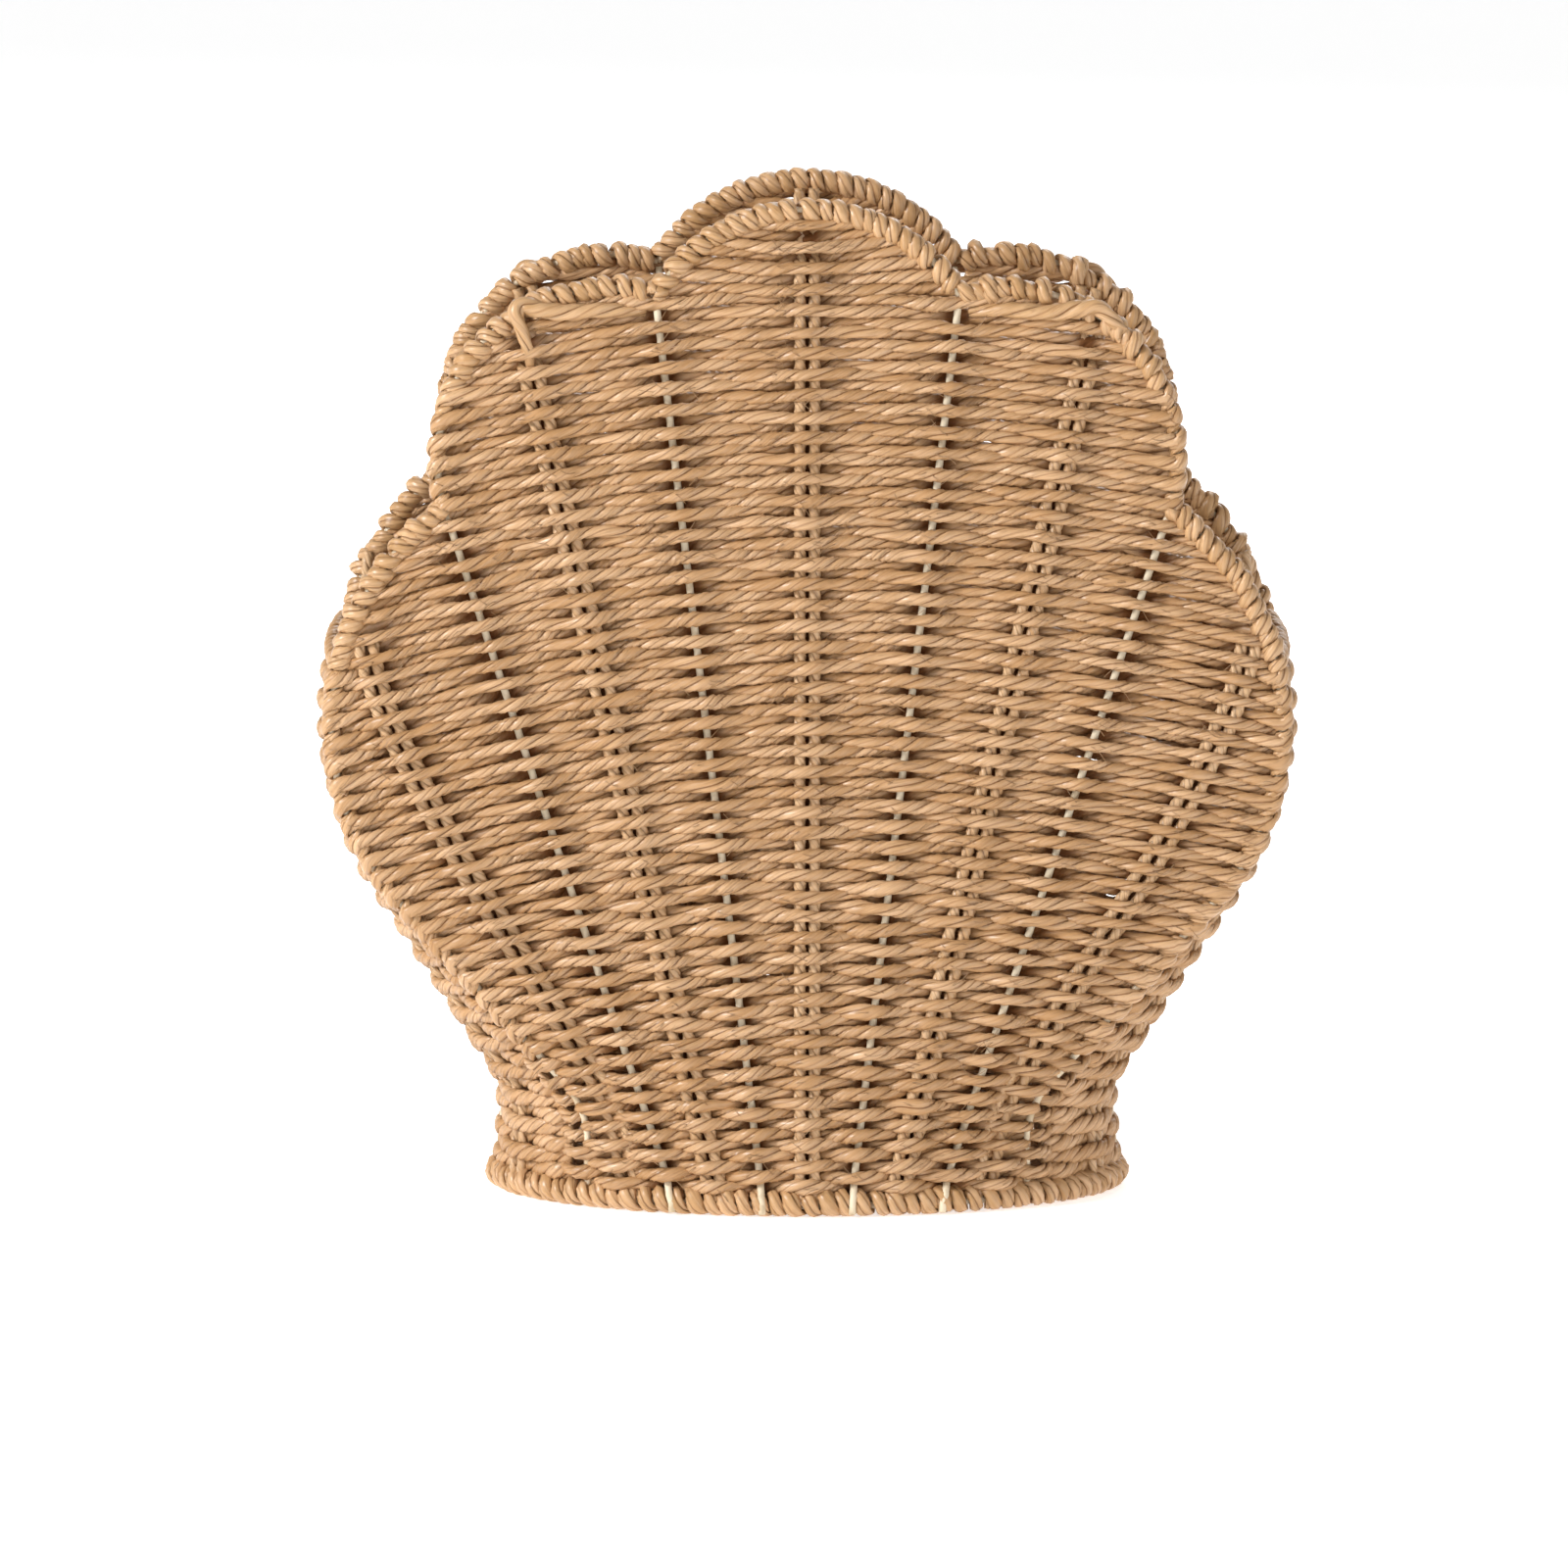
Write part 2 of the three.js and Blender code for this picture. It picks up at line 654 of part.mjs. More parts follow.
function insetOutline() {
  const notchIn = crossing(middle, upper, edgeGap);
  const notchOut = crossing(upper, side, edgeGap);
  const arc = (circle, from, to, steps = LOBE_STEPS) => arcPoints(circle, from, to, steps, edgeGap);
  const right = [
    ...arc(middle, Math.PI / 2, angleOn(middle, notchIn), Math.ceil(LOBE_STEPS / 2)),
    ...arc(upper, angleOn(upper, notchIn), angleOn(upper, notchOut)).slice(1),
    ...arc(side, angleOn(side, notchOut), -flankAngle).slice(1),
    ...footPoints(edgeGap),
  ];
  const bottom = new THREE.Vector2(right[right.length - 1].x, 0);
  right.push(bottom);
  const left = right.slice(1).map((p) => new THREE.Vector2(-p.x, p.y));
  return [...right, ...left.reverse()];
}

function buildPanel(face, facing) {
  const outline = new THREE.ExtrudeGeometry(new THREE.Shape(insetOutline().reverse()), {
    depth: 2 * ringA,
    bevelEnabled: false,
  });
  outline.rotateX(Math.PI / 2);
  outline.translate(0, ringA, 0);
  const at = (outward) => (i, j) => {
    const z = wallBottomZ + ((TOP_Z - wallBottomZ) * j) / WALL_ROWS;
    const share = (2 * i) / WALL_COLUMNS - 1;
    const x = -facing * share * ridgeX(Math.min(z, side.z));
    const point = panelPoint(facing, x, z);
    point.y += facing * outward * (WALL_THICK / 2);
    return point;
  };
  const wall = slab(WALL_COLUMNS, WALL_ROWS, at(1), at(-1));
  const channels = panelRays(facing).map(({ isStake, path }) => {
    const section = isStake ? roundSection(boreR, WIRE_SIDES) : warpSection(1.5 * CLEAR);
    return tube(path, section, aside);
  });
  const shell = solidOf(wall).intersect(solidOf(outline));
  addPiece(face + "_panel_weave", cutAway(geometryOf(shell), channels), paperRope);
}

// Side gussets, from the ring up to the mouth

function gussetRay(sideways, across, bottom, top) {
  return Array.from({ length: GUSSET_ROWS + 1 }, (_, i) =>
    gussetPoint(sideways, across, THREE.MathUtils.lerp(bottom, top, i / GUSSET_ROWS)),
  );
}

function gussetNormal(sideways, across, z) {
  const here = gussetPoint(sideways, across, z);
  const level = gussetPoint(sideways, across + 0.01, z).sub(here);
  const rising = gussetPoint(sideways, across, z + 1).sub(here);
  return level.cross(rising).multiplyScalar(sideways).normalize();
}

// The share of a gusset's half width that its weave fills, up to the rope round the ridge.
function gussetReach(sideways, z) {
  const edge = gussetPoint(sideways, 1, z);
  const nearEdge = 0.95;
  const strip = edge.distanceTo(gussetPoint(sideways, nearEdge, z));
  return 1 - (edgeGap * (1 - nearEdge)) / strip;
}

function buildGusset(name, sideways) {
  const at = (outward) => (i, j) => {
    const z = THREE.MathUtils.lerp(wallBottomZ, GUSSET_TOP_Z, j / GUSSET_ROWS);
    const across = sideways * gussetReach(sideways, z) * ((2 * i) / GUSSET_COLUMNS - 1);
    const offset = gussetNormal(sideways, across, z).setZ(0).normalize();
    return gussetPoint(sideways, across, z).addScaledVector(offset, (outward * WALL_THICK) / 2);
  };
  const wall = slab(GUSSET_COLUMNS, GUSSET_ROWS, at(1), at(-1));
  const sidewaysAxis = new THREE.Vector3(1, 0, 0);
  const rays = [
    ["_warp_front", -0.5, false],
    ["_stake_wire", 0, true],
    ["_warp_back", 0.5, false],
  ];
  const channels = rays.map(([suffix, across, isStake]) => {
    const path = gussetRay(sideways, across, wallBottomZ, GUSSET_TOP_Z);
    const section = isStake ? wireSection() : warpSection(0);
    addPiece(name + suffix, tube(path, section, sidewaysAxis), isStake ? creamPaint : paperRope);
    const below = path[0].clone().lerp(path[1], -0.1);
    const above = path[GUSSET_ROWS].clone().lerp(path[GUSSET_ROWS - 1], -0.1);
    const channelSection = isStake ? roundSection(boreR, WIRE_SIDES) : warpSection(1.5 * CLEAR);
    return tube([below, ...path, above], channelSection, sidewaysAxis);
  });
  addPiece(name + "_weave", cutAway(wall, channels), paperRope);
}

buildBase();
for (const [face, facing] of [["front", -1], ["back", 1]]) {
  buildRim(face, facing);
  buildStakes(face, facing);
  buildPanel(face, facing);
}
buildGusset("left_gusset", -1);
buildGusset("right_gusset", 1);

export default basket;
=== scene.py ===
import math

import bpy
import numpy as np
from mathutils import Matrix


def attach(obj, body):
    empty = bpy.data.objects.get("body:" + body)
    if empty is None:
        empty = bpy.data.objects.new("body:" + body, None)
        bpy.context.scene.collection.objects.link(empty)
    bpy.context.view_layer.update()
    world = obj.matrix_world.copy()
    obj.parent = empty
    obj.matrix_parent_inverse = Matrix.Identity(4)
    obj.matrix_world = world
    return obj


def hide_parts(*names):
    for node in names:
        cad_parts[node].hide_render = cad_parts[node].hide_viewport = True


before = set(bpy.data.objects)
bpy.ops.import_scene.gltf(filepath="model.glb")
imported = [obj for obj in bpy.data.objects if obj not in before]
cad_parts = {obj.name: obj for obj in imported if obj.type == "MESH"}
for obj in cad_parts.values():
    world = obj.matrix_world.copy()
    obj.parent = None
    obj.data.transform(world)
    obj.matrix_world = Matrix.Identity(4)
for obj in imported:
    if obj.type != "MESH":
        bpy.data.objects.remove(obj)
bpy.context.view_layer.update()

# Camera
# The basket is photographed from the front with a long lens, a little from above, so that the rim of
# the back panel shows over the front one.
CAMERA_RISE = math.radians(8.3)
CAMERA_REACH = 5.0
CAMERA_AIM = np.array([-0.0079, -0.055, 0.147])
CAMERA_SIGHT = 50.0
PIXELS_PER_METRE = 3000.0
FRAME_PIXELS = 1600.0
SENSOR = 36.0

lens = bpy.data.cameras.new("photo_camera")
lens.sensor_width = SENSOR
lens.lens = PIXELS_PER_METRE * CAMERA_REACH / FRAME_PIXELS * SENSOR
lens.clip_end = CAMERA_SIGHT
camera = bpy.data.objects.new("photo_camera", lens)
bpy.context.scene.collection.objects.link(camera)
from_aim = np.array([0.0, -math.cos(CAMERA_RISE), math.sin(CAMERA_RISE)])
camera.location = CAMERA_AIM + CAMERA_REACH * from_aim
camera.rotation_euler = (math.pi / 2 - CAMERA_RISE, 0.0, 0.0)
bpy.context.scene.camera = camera

# Painted wire frame
# Round steel wire, welded and painted cream: a scalloped rim for each panel whose legs run down as ridges,
# stakes that fan up from the oval base ring to the notches between the lobes, and one in each gusset.
FACES = {"front": -1, "back": 1}
SIDES = {"left": -1, "right": 1}
WIRE_R = 0.00125
WIRE_SIDES = 14
WIRE_STEP = 0.003
RING_A = 0.106
RING_B = 0.069
RING_Z = 0.00395
CORNER_X = 0.075
CORNER_Y = RING_B * math.sqrt(1 - (CORNER_X / RING_A) ** 2)
OUTER_STAKE = 3
SIDE_WARP = 4
RIDGE_PLACE = 5
MID_DEPTH = 0.0615
MID_DEPTH_Z = 0.175
FLAT_FROM_Z = 0.200
TOP_Z = 0.3425
INNER_NOTCH = (0.0515, 0.314)
OUTER_NOTCH = (0.123, 0.242)
MIDDLE_LOBE = (0.0, 0.28172, 0.06078)
UPPER_RISE = 0.030
SIDE_LOBE = (0.070, 0.16752, 0.09142)
FOOT_BEND = (0.105, 0.0236, 0.030)
FLANK_LEAN = math.radians(41.39)
FLANK_TOP = (
    SIDE_LOBE[0] + SIDE_LOBE[2] * math.cos(FLANK_LEAN),
    SIDE_LOBE[1] - SIDE_LOBE[2] * math.sin(FLANK_LEAN),
)
GUSSET_TOP_Z = 0.189
GUSSET_CROWN = 0.003
GUSSET_FULL_Z = 0.004
GUSSET_SLIM_Z = 0.152
GUSSET_STAKE_POINTS = 80
STAKE_PLACES = (-OUTER_STAKE, -1, 1, OUTER_STAKE)
STAKE_STEP_X = CORNER_X / RIDGE_PLACE
STAKE_FOOT_Z = 0.0012
STAKE_SHORT = 0.001
STAKE_CUT = 0.001
CLASP_OUT = 0.0037
CLASP_TOP_Z = 0.0065
CLASP_FADE = 0.006
UPPER_WARP_SHARE = 0.39
SIDE_WARP_SHARE = 0.25
SIDE_SWING_Z = 0.100
LEAST_ARC_POINTS = 4
FULL_TURN = 2 * math.pi
TINY = 1e-12
SLOPE_STEP = 0.0005
ACROSS_STEP = 0.01
RISE_STEP = 0.001
SHADOW_ROUND = 0.2
PATTERN_SHIFT = 3.71
PAINT = (0.76, 0.65, 0.47, 1.0)
PAINT_WORN = (0.56, 0.44, 0.28, 1.0)
WORN_BELOW = 0.36
WHOLE_FROM = 0.52


def arc_between(first, second, rise):
    """The circle through two points whose arc rises so far over their chord, on its upper right side. Its
    radius is half the chord squared plus the rise squared, over twice the rise."""
    chord = np.subtract(second, first)
    length = np.hypot(*chord)
    radius = (length**2 / 4 + rise**2) / (2 * rise)
    inward = np.array([chord[1], -chord[0]]) / length
    centre = np.add(first, second) / 2 + inward * (radius - rise)
    return centre[0], centre[1], radius


UPPER_LOBE = arc_between(INNER_NOTCH, OUTER_NOTCH, UPPER_RISE)


def unit(vectors):
    """Each vector over its own length."""
    return vectors / np.maximum(np.linalg.norm(vectors, axis=-1, keepdims=True), TINY)


def smooth(t):
    """An ease from 0 to 1: three times the square of t less twice its cube."""
    t = np.clip(t, 0, 1)
    return t * t * (3 - 2 * t)


def half_depth(z):
    """Half the distance between the two ridges: widest at mid height, less by the square of the rise
    from it."""
    rise = (z - MID_DEPTH_Z) / (MID_DEPTH_Z - RING_Z)
    return MID_DEPTH - (MID_DEPTH - CORNER_Y) * rise**2


def ridge_x(z):
    """Half width of a panel: upright at the foot, then a bend, a straight flank and the side lobe's arc."""
    z = np.asarray(z, float)
    bend = FOOT_BEND[0] - np.sqrt(np.maximum(FOOT_BEND[2] ** 2 - (z - FOOT_BEND[1]) ** 2, 0))
    flank = FLANK_TOP[0] - (FLANK_TOP[1] - z) * math.tan(FLANK_LEAN)
    lobe = SIDE_LOBE[0] + np.sqrt(np.maximum(SIDE_LOBE[2] ** 2 - (z - SIDE_LOBE[1]) ** 2, 0))
    low = np.where(z <= FOOT_BEND[1], CORNER_X, bend)
    low = np.where(z <= FOOT_BEND[1] + FOOT_BEND[2] * math.sin(FLANK_LEAN), low, flank)
    return np.where(z <= FLANK_TOP[1], low, lobe)


def edge_x(z):
    """Half width of a panel up to the upper lobes: the ridge and side lobe, then the upper lobe's outer
    arc."""
    z = np.asarray(z, float)
    upper = UPPER_LOBE[0] + np.sqrt(np.maximum(UPPER_LOBE[2] ** 2 - (z - UPPER_LOBE[1]) ** 2, 0))
    return np.where(z <= OUTER_NOTCH[1], ridge_x(z), upper)


def crest(share, corner):
    """Part of an ellipse's curve, scaled to be 1 at its crest and 0 where the share is 1 or more."""
    edge = math.sqrt(1 - corner**2)
    inside = np.minimum(np.abs(share), 1) * corner
    return (np.sqrt(1 - inside**2) - edge) / (1 - edge)


def panel_depth(x, z):
    """Distance of a panel from the plane between the panels: the ridges' depth plus a bulge that fades
    upwards."""
    fade = np.maximum(0, 1 - (z - RING_Z) / (FLAT_FROM_Z - RING_Z)) ** 2
    width = ridge_x(np.minimum(z, SIDE_LOBE[1]))
    return half_depth(z) + (RING_B - CORNER_Y) * fade * crest(x / width, CORNER_X / RING_A)


def panel_point(facing, x, z):
    """The point of a panel at a width and a height: its depth is taken to the front or the back."""
    return np.stack([x, facing * panel_depth(x, z), z + 0 * x], axis=-1)


def panel_outward(facing, x, z):
    """The unit normal of a panel, from the slopes of its depth sideways and upwards."""
    h = SLOPE_STEP
    slope_x = (panel_depth(x + h, z) - panel_depth(x - h, z)) / (2 * h)
    slope_z = (panel_depth(x, z + h) - panel_depth(x, z - h)) / (2 * h)
    normal = np.stack([-slope_x, facing + 0 * x, -slope_z], axis=-1)
    return unit(normal)


def gusset_out(z):
    """How far the middle of a gusset stands out from its ridges: the ring's full curve, which fades as a
    half cosine to nearly flat."""
    share = np.clip((z - GUSSET_FULL_Z) / (GUSSET_SLIM_Z - GUSSET_FULL_Z), 0, 1)
    full = RING_A - CORNER_X
    return GUSSET_CROWN + (full - GUSSET_CROWN) * 0.5 * (1 + np.cos(math.pi * share))


def gusset_point(sideways, across, z):
    """The point of a gusset at a share of the way across, from -1 at the front ridge to 1 at the back one."""
    out = ridge_x(z) + gusset_out(z) * crest(across, CORNER_Y / RING_B)
    return np.stack([sideways * out, across * half_depth(z), z + 0 * across], axis=-1)


def gusset_outward(sideways, across, z):
    """The unit normal of a gusset, square to its directions across and upwards."""
    before, after = across - ACROSS_STEP, across + ACROSS_STEP
    level = gusset_point(sideways, after, z) - gusset_point(sideways, before, z)
    rising = gusset_point(sideways, across, z + RISE_STEP) - gusset_point(sideways, across, z - RISE_STEP)
    return unit(np.cross(level, rising) * sideways)


def lengths_along(path):
    """The distance of each point from the first, added up along the path."""
    return np.concatenate([[0], np.cumsum(np.linalg.norm(np.diff(path, axis=0), axis=1))])


def points_at(distances, s, path):
    """Points of a path at some distances along it, in straight lines between its own points."""
    return np.stack([np.interp(distances, s, path[:, i]) for i in range(3)], axis=1)


def spread(path, step):
    """The same path with its points an even step apart."""
    s = lengths_along(path)
    count = max(int(round(s[-1] / step)), 2)
    return points_at(np.linspace(0, s[-1], count + 1), s, path)


def constant(path, direction):
    """One direction for every point of a path."""
    return np.broadcast_to(np.asarray(direction, float), path.shape)


def square_to(directions, along):
    """The directions made square to the path's own, by taking away their part along it."""
    return unit(directions - np.sum(directions * along, axis=-1, keepdims=True) * along)


def carried(path, outward, profile, high, deep, lay=None, turn=0.0, closed=False, sunk=0.0):
    """A closed profile carried along a path. Each ring holds the profile's points at their radius and
    angle, the angle turned by one full turn per lay length, then stretched to the half height across
    the surface and the half depth along its outward normal. Sunk says how far under its neighbours the
    path runs, and gives each point of the side under them a share of painted shadow, the shade they cast."""
    s = lengths_along(path)
    if closed:
        tangent = unit(np.roll(path, -1, axis=0) - np.roll(path, 1, axis=0))
    else:
        tangent = unit(np.gradient(path, axis=0))
    normal = square_to(outward, tangent)
    aside = np.cross(tangent, normal)
    radius, angle = profile
    turned = angle[None, :] + np.broadcast_to(turn, s.shape)[:, None]
    if lay is not None:
        turned = turned + FULL_TURN * (s / lay)[:, None]
    high = np.broadcast_to(np.asarray(high, float), s.shape)[:, None]
    deep = np.broadcast_to(np.asarray(deep, float), s.shape)[:, None]
    points = (
        path[:, None, :]
        + aside[:, None, :] * (high * radius * np.cos(turned))[..., None]
        + normal[:, None, :] * (deep * radius * np.sin(turned))[..., None]
    )
    sunk = np.broadcast_to(np.asarray(sunk, float), s.shape)[:, None]
    # The last value is painted shadow: each point's darkening where the rope runs under its neighbours.
    return points, s, closed, np.clip(sunk * (SHADOW_ROUND + np.sin(turned)), 0, 1)


def build_piece(name, strands, material, nodes):
    """One mesh object of many carried strands: quads between the rings, a cap at each open end, and a UV
    map of metres along the strand and the share of the way round it."""
    points, corners, totals, uvs, shades = [], [], [], [], []
    first = 0
    for number, (grid, s, closed, shade) in enumerate(strands):
        n, k = grid.shape[:2]
        ring = np.arange(n if closed else n - 1)
        i, j = np.meshgrid(ring, np.arange(k), indexing="ij")
        ahead, around = (i + 1) % n, (j + 1) % k
        quads = np.stack([i * k + j, ahead * k + j, ahead * k + around, i * k + around], axis=-1) + first
        along = s + PATTERN_SHIFT * number
        last = along[-1] + (s[1] - s[0]) if closed else 0.0
        u0 = along[i]
        u1 = np.where(i + 1 < n, along[np.minimum(i + 1, n - 1)], last)
        v0, v1 = j / k, (j + 1) / k
        uv = np.stack([u0, v0, u1, v0, u1, v1, u0, v1], axis=-1)
        points.append(grid.reshape(-1, 3))
        shades.append(shade.reshape(-1))
        corners.append(quads.reshape(-1))
        totals.append(np.full(quads.shape[0] * quads.shape[1], 4))
        uvs.append(uv.reshape(-1))
        if not closed:
            ends = np.arange(k)
            corners += [ends + first, (ends + (n - 1) * k + first)[::-1]]
            totals.append(np.array([k, k]))
            share = np.stack([np.full(k, along[0]), ends / k], axis=-1).reshape(-1)
            uvs += [share, share]
        first += n * k
    points = np.concatenate(points).astype(np.float32)
    corners = np.concatenate(corners).astype(np.int32)
    totals = np.concatenate(totals).astype(np.int32)
    starts = np.concatenate([[0], np.cumsum(totals)[:-1]]).astype(np.int32)
    mesh = bpy.data.meshes.new(name)
    mesh.vertices.add(len(points))
    mesh.vertices.foreach_set("co", points.reshape(-1))
    mesh.loops.add(len(corners))
    mesh.loops.foreach_set("vertex_index", corners)
    mesh.polygons.add(len(totals))
    mesh.polygons.foreach_set("loop_start", starts)
    mesh.polygons.foreach_set("use_smooth", np.ones(len(totals), bool))
    layer = mesh.uv_layers.new(name="UVMap")
    layer.data.foreach_set("uv", np.concatenate(uvs).astype(np.float32))
    # Each point's share of painted shadow, where its rope runs under its neighbours, for the rope's shader.
    painted_shadow = mesh.attributes.new("painted_shadow", "FLOAT", "POINT")
    painted_shadow.data.foreach_set("value", np.concatenate(shades).astype(np.float32))
    mesh.update(calc_edges=True)
    mesh.validate()
    piece = bpy.data.objects.new(name, mesh)
    bpy.context.scene.collection.objects.link(piece)
    mesh.materials.append(material)
    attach(piece, "root")
    if nodes:
        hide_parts(*nodes)
    return piece


def wire_profile():
    """A round outline: radius 1 at even angles."""
    return np.ones(WIRE_SIDES), np.arange(WIRE_SIDES) * 2 * math.pi / WIRE_SIDES


def wire(path, direction):
    """Round wire along a path: the wire's radius both ways from its middle."""
    return carried(path, constant(path, direction), wire_profile(), WIRE_R, WIRE_R)


def new_material(name):
    """A material with its output and one shader, and nothing else."""
    material = bpy.data.materials.new(name)
    material.use_nodes = True
    nodes = material.node_tree.nodes
    nodes.clear()
    output = nodes.new("ShaderNodeOutputMaterial")
    shader = nodes.new("ShaderNodeBsdfPrincipled")
    material.node_tree.links.new(shader.outputs["BSDF"], output.inputs["Surface"])
    return material, shader


def add_node(nodes, kind, **values):
    """A new shader node whose inputs are set by name, with the spaces of a name as underscores."""
    node = nodes.new("ShaderNode" + kind)
    for name, value in values.items():
        node.inputs[name.replace("_", " ")].default_value = value
    return node


def paint_material():
    """Cream paint: worn patches from a slow noise, and a fine grain in its gloss and relief."""
    material, shader = new_material("cream_paint")
    nodes, link = material.node_tree.nodes, material.node_tree.links.new
    place = add_node(nodes, "TexCoord")
    cloud = add_node(nodes, "TexNoise", Scale=160.0, Detail=4.0)
    ramp = add_node(nodes, "ValToRGB")
    ramp.color_ramp.elements[0].position = WORN_BELOW
    ramp.color_ramp.elements[0].color = PAINT_WORN
    ramp.color_ramp.elements[1].position = WHOLE_FROM
    ramp.color_ramp.elements[1].color = PAINT
    grain = add_node(nodes, "TexNoise", Scale=900.0)
    gloss = add_node(nodes, "MapRange", To_Min=0.32, To_Max=0.55)
    bump = add_node(nodes, "Bump", Strength=0.25, Distance=0.0002)
    link(place.outputs["Object"], cloud.inputs["Vector"])
    link(place.outputs["Object"], grain.inputs["Vector"])
    link(cloud.outputs["Fac"], ramp.inputs["Fac"])
    link(ramp.outputs["Color"], shader.inputs["Base Color"])
    link(grain.outputs["Fac"], gloss.inputs["Value"])
    link(gloss.outputs["Result"], shader.inputs["Roughness"])
    link(grain.outputs["Fac"], bump.inputs["Height"])
    link(bump.outputs["Normal"], shader.inputs["Normal"])
    return material


cream_paint = paint_material()


def arc(circle, start, end):
    """Points of an arc as x and z, from one angle to the other."""
    count = max(int(abs(end - start) * circle[2] / WIRE_STEP), LEAST_ARC_POINTS)
    angle = np.linspace(start, end, count + 1)
    return np.stack([circle[0] + circle[2] * np.cos(angle), circle[1] + circle[2] * np.sin(angle)], axis=1)


def angle_on(circle, point):
    """The angle at which a circle's centre sees a point."""
    return math.atan2(point[1] - circle[1], point[0] - circle[0])


def lobe_point(circle, start, end, share):
    """The point a share of the way along an arc from one point to another."""
    a, b = angle_on(circle, start), angle_on(circle, end)
    angle = a + (b - a) * share
    return circle[0] + circle[2] * math.cos(angle), circle[1] + circle[2] * math.sin(angle)


UPPER_WARP_TOP = lobe_point(UPPER_LOBE, INNER_NOTCH, OUTER_NOTCH, UPPER_WARP_SHARE)
SIDE_WARP_TOP = lobe_point(SIDE_LOBE, OUTER_NOTCH, FLANK_TOP, SIDE_WARP_SHARE)
TOPS = ((0.0, TOP_Z), INNER_NOTCH, UPPER_WARP_TOP, OUTER_NOTCH, SIDE_WARP_TOP)


def rim_outline(place):
    """The outline of one lobe's rim as x and z, on the right half or for the middle lobe from right to
    left."""
    if place == "middle":
        start = angle_on(MIDDLE_LOBE, INNER_NOTCH)
        return arc(MIDDLE_LOBE, start, math.pi - start)
    if place == "upper":
        return arc(UPPER_LOBE, angle_on(UPPER_LOBE, INNER_NOTCH), angle_on(UPPER_LOBE, OUTER_NOTCH))
    lobe = arc(SIDE_LOBE, angle_on(SIDE_LOBE, OUTER_NOTCH), -FLANK_LEAN)
    bend = arc(FOOT_BEND, math.pi - FLANK_LEAN, math.pi)
    return np.concatenate([lobe, bend, [[CORNER_X, RING_Z]]])


def rim_path(facing, mirror, place):
    """A lobe's rim laid on its panel, mirrored for the left side."""
    flat = rim_outline(place)
    return spread(panel_point(facing, mirror * flat[:, 0], flat[:, 1]), WIRE_STEP)


def stake_x(place, z):
    """A stake or warp's distance from the middle: a straight ray from its place on the ring to the rim. The
    fourth, a warp, keeps midway between the third and the ridge, and swings out to the side lobe."""
    if place == SIDE_WARP:
        swing = np.maximum(0, (z - SIDE_SWING_Z) / (SIDE_WARP_TOP[1] - SIDE_SWING_Z))
        share = 0.5 + 0.5 * np.minimum(swing, 1) ** 2
        return stake_x(OUTER_STAKE, z) * (1 - share) + ridge_x(np.minimum(z, SIDE_WARP_TOP[1])) * share
    foot, top = place * STAKE_STEP_X, TOPS[place]
    return foot + (top[0] - foot) * (z - RING_Z) / (top[1] - RING_Z)


def stake_wire_path(facing, place):
    """A stake's wire from low on the outer side of the base ring, in to the weave and up its ray to the
    rim."""
    z = np.arange(STAKE_FOOT_Z, TOPS[abs(place)][1] - STAKE_SHORT, STAKE_CUT)
    low = np.maximum(z, RING_Z)
    x = np.sign(place) * stake_x(abs(place), low)
    path = panel_point(facing, x, low)
    path[:, 2] = z
    clasp = CLASP_OUT * (1 - smooth((z - CLASP_TOP_Z) / CLASP_FADE))
    return spread(path + panel_outward(facing, x, low) * clasp[:, None], WIRE_STEP)


def numbered(name, places):
    """The name with 1, 2 and so on after it, one for each place."""
    return [name + str(n) for n, _ in enumerate(places, 1)]


for face, facing in FACES.items():
    paths = [rim_path(facing, 1, "middle")]
    paths += [rim_path(facing, mirror, place) for mirror in (-1, 1) for place in ("upper", "side")]
    rims = [wire(path, (0, facing, 0)) for path in paths]
    places = ("middle", "upper_left", "upper_right", "side_left", "side_right")
    names = [face + "_rim_wire_" + place for place in places]
    build_piece(face + "_rim_wires", rims, cream_paint, names)
    stakes = [wire(stake_wire_path(facing, place), (0, facing, 0)) for place in STAKE_PLACES]
    names = numbered(face + "_stake_wire_", STAKE_PLACES)
    build_piece(face + "_stakes", stakes, cream_paint, names)

for side, sideways in SIDES.items():
    z = np.linspace(RING_Z, GUSSET_TOP_Z, GUSSET_STAKE_POINTS)
    stake = wire(spread(gusset_point(sideways, 0 * z, z), WIRE_STEP), (sideways, 0, 0))
    build_piece(side + "_gusset_stake", [stake], cream_paint, [side + "_gusset_stake_wire"])

# Woven panels
# Plain weave of two-ply twisted paper rope, about 5 mm thick: each row goes over one stake and under the
# next, is pressed flat where rows meet, and at the ridges is joined to the next by a loop round the wire.
ROW_FIRST_Z = 0.0105
ROW_PITCH = 0.00355
ROW_COUNT = 94
ROW_UNEVEN_Z = 0.00017
ROW_SCAN_X = 0.168
ROW_SCAN_STEP = 0.0002
ROW_WANDER = 0.00022
ROW_TILT = 0.0003
SHORTEST_ROW = 0.012
END_CALM = 0.02
BANDS = {"lower": (0, 34), "middle": (34, 62), "upper": (62, ROW_COUNT)}
ROPE_HALF_LOW = 0.0028
ROPE_HALF_HIGH = 0.0024
ROPE_HALF_UNDER = 0.0034
ROPE_PRESSED = 0.0024
ROPE_DEEP = 0.0019
ROPE_DEEP_PRESSED = 0.0025
ROPE_UNEVEN = 0.06
ROPE_UNEVEN_REACH = 0.05
ROPE_LAY = 0.0210
ROPE_LAY_RANGE = (0.85, 1.15)
ROPE_STEP = 0.0015
TWIST_WANDER = 0.28
TWIST_REACH = 0.07
WANDER_REACH = 0.09
SIDE_SLIM = 0.17
SIDE_FROM = 2.5
SIDE_SHADOW = 0.6
WEAVE_SWING = 0.0036
FREE_SWING = 0.0019
STAKE_REACH = 0.0070
SHADOW_REACH = 0.0060
FAN_Z = -0.130
FAN_FROM_Z = 0.004
FAN_LEAST = 0.002
FAN_EASE = 1.05
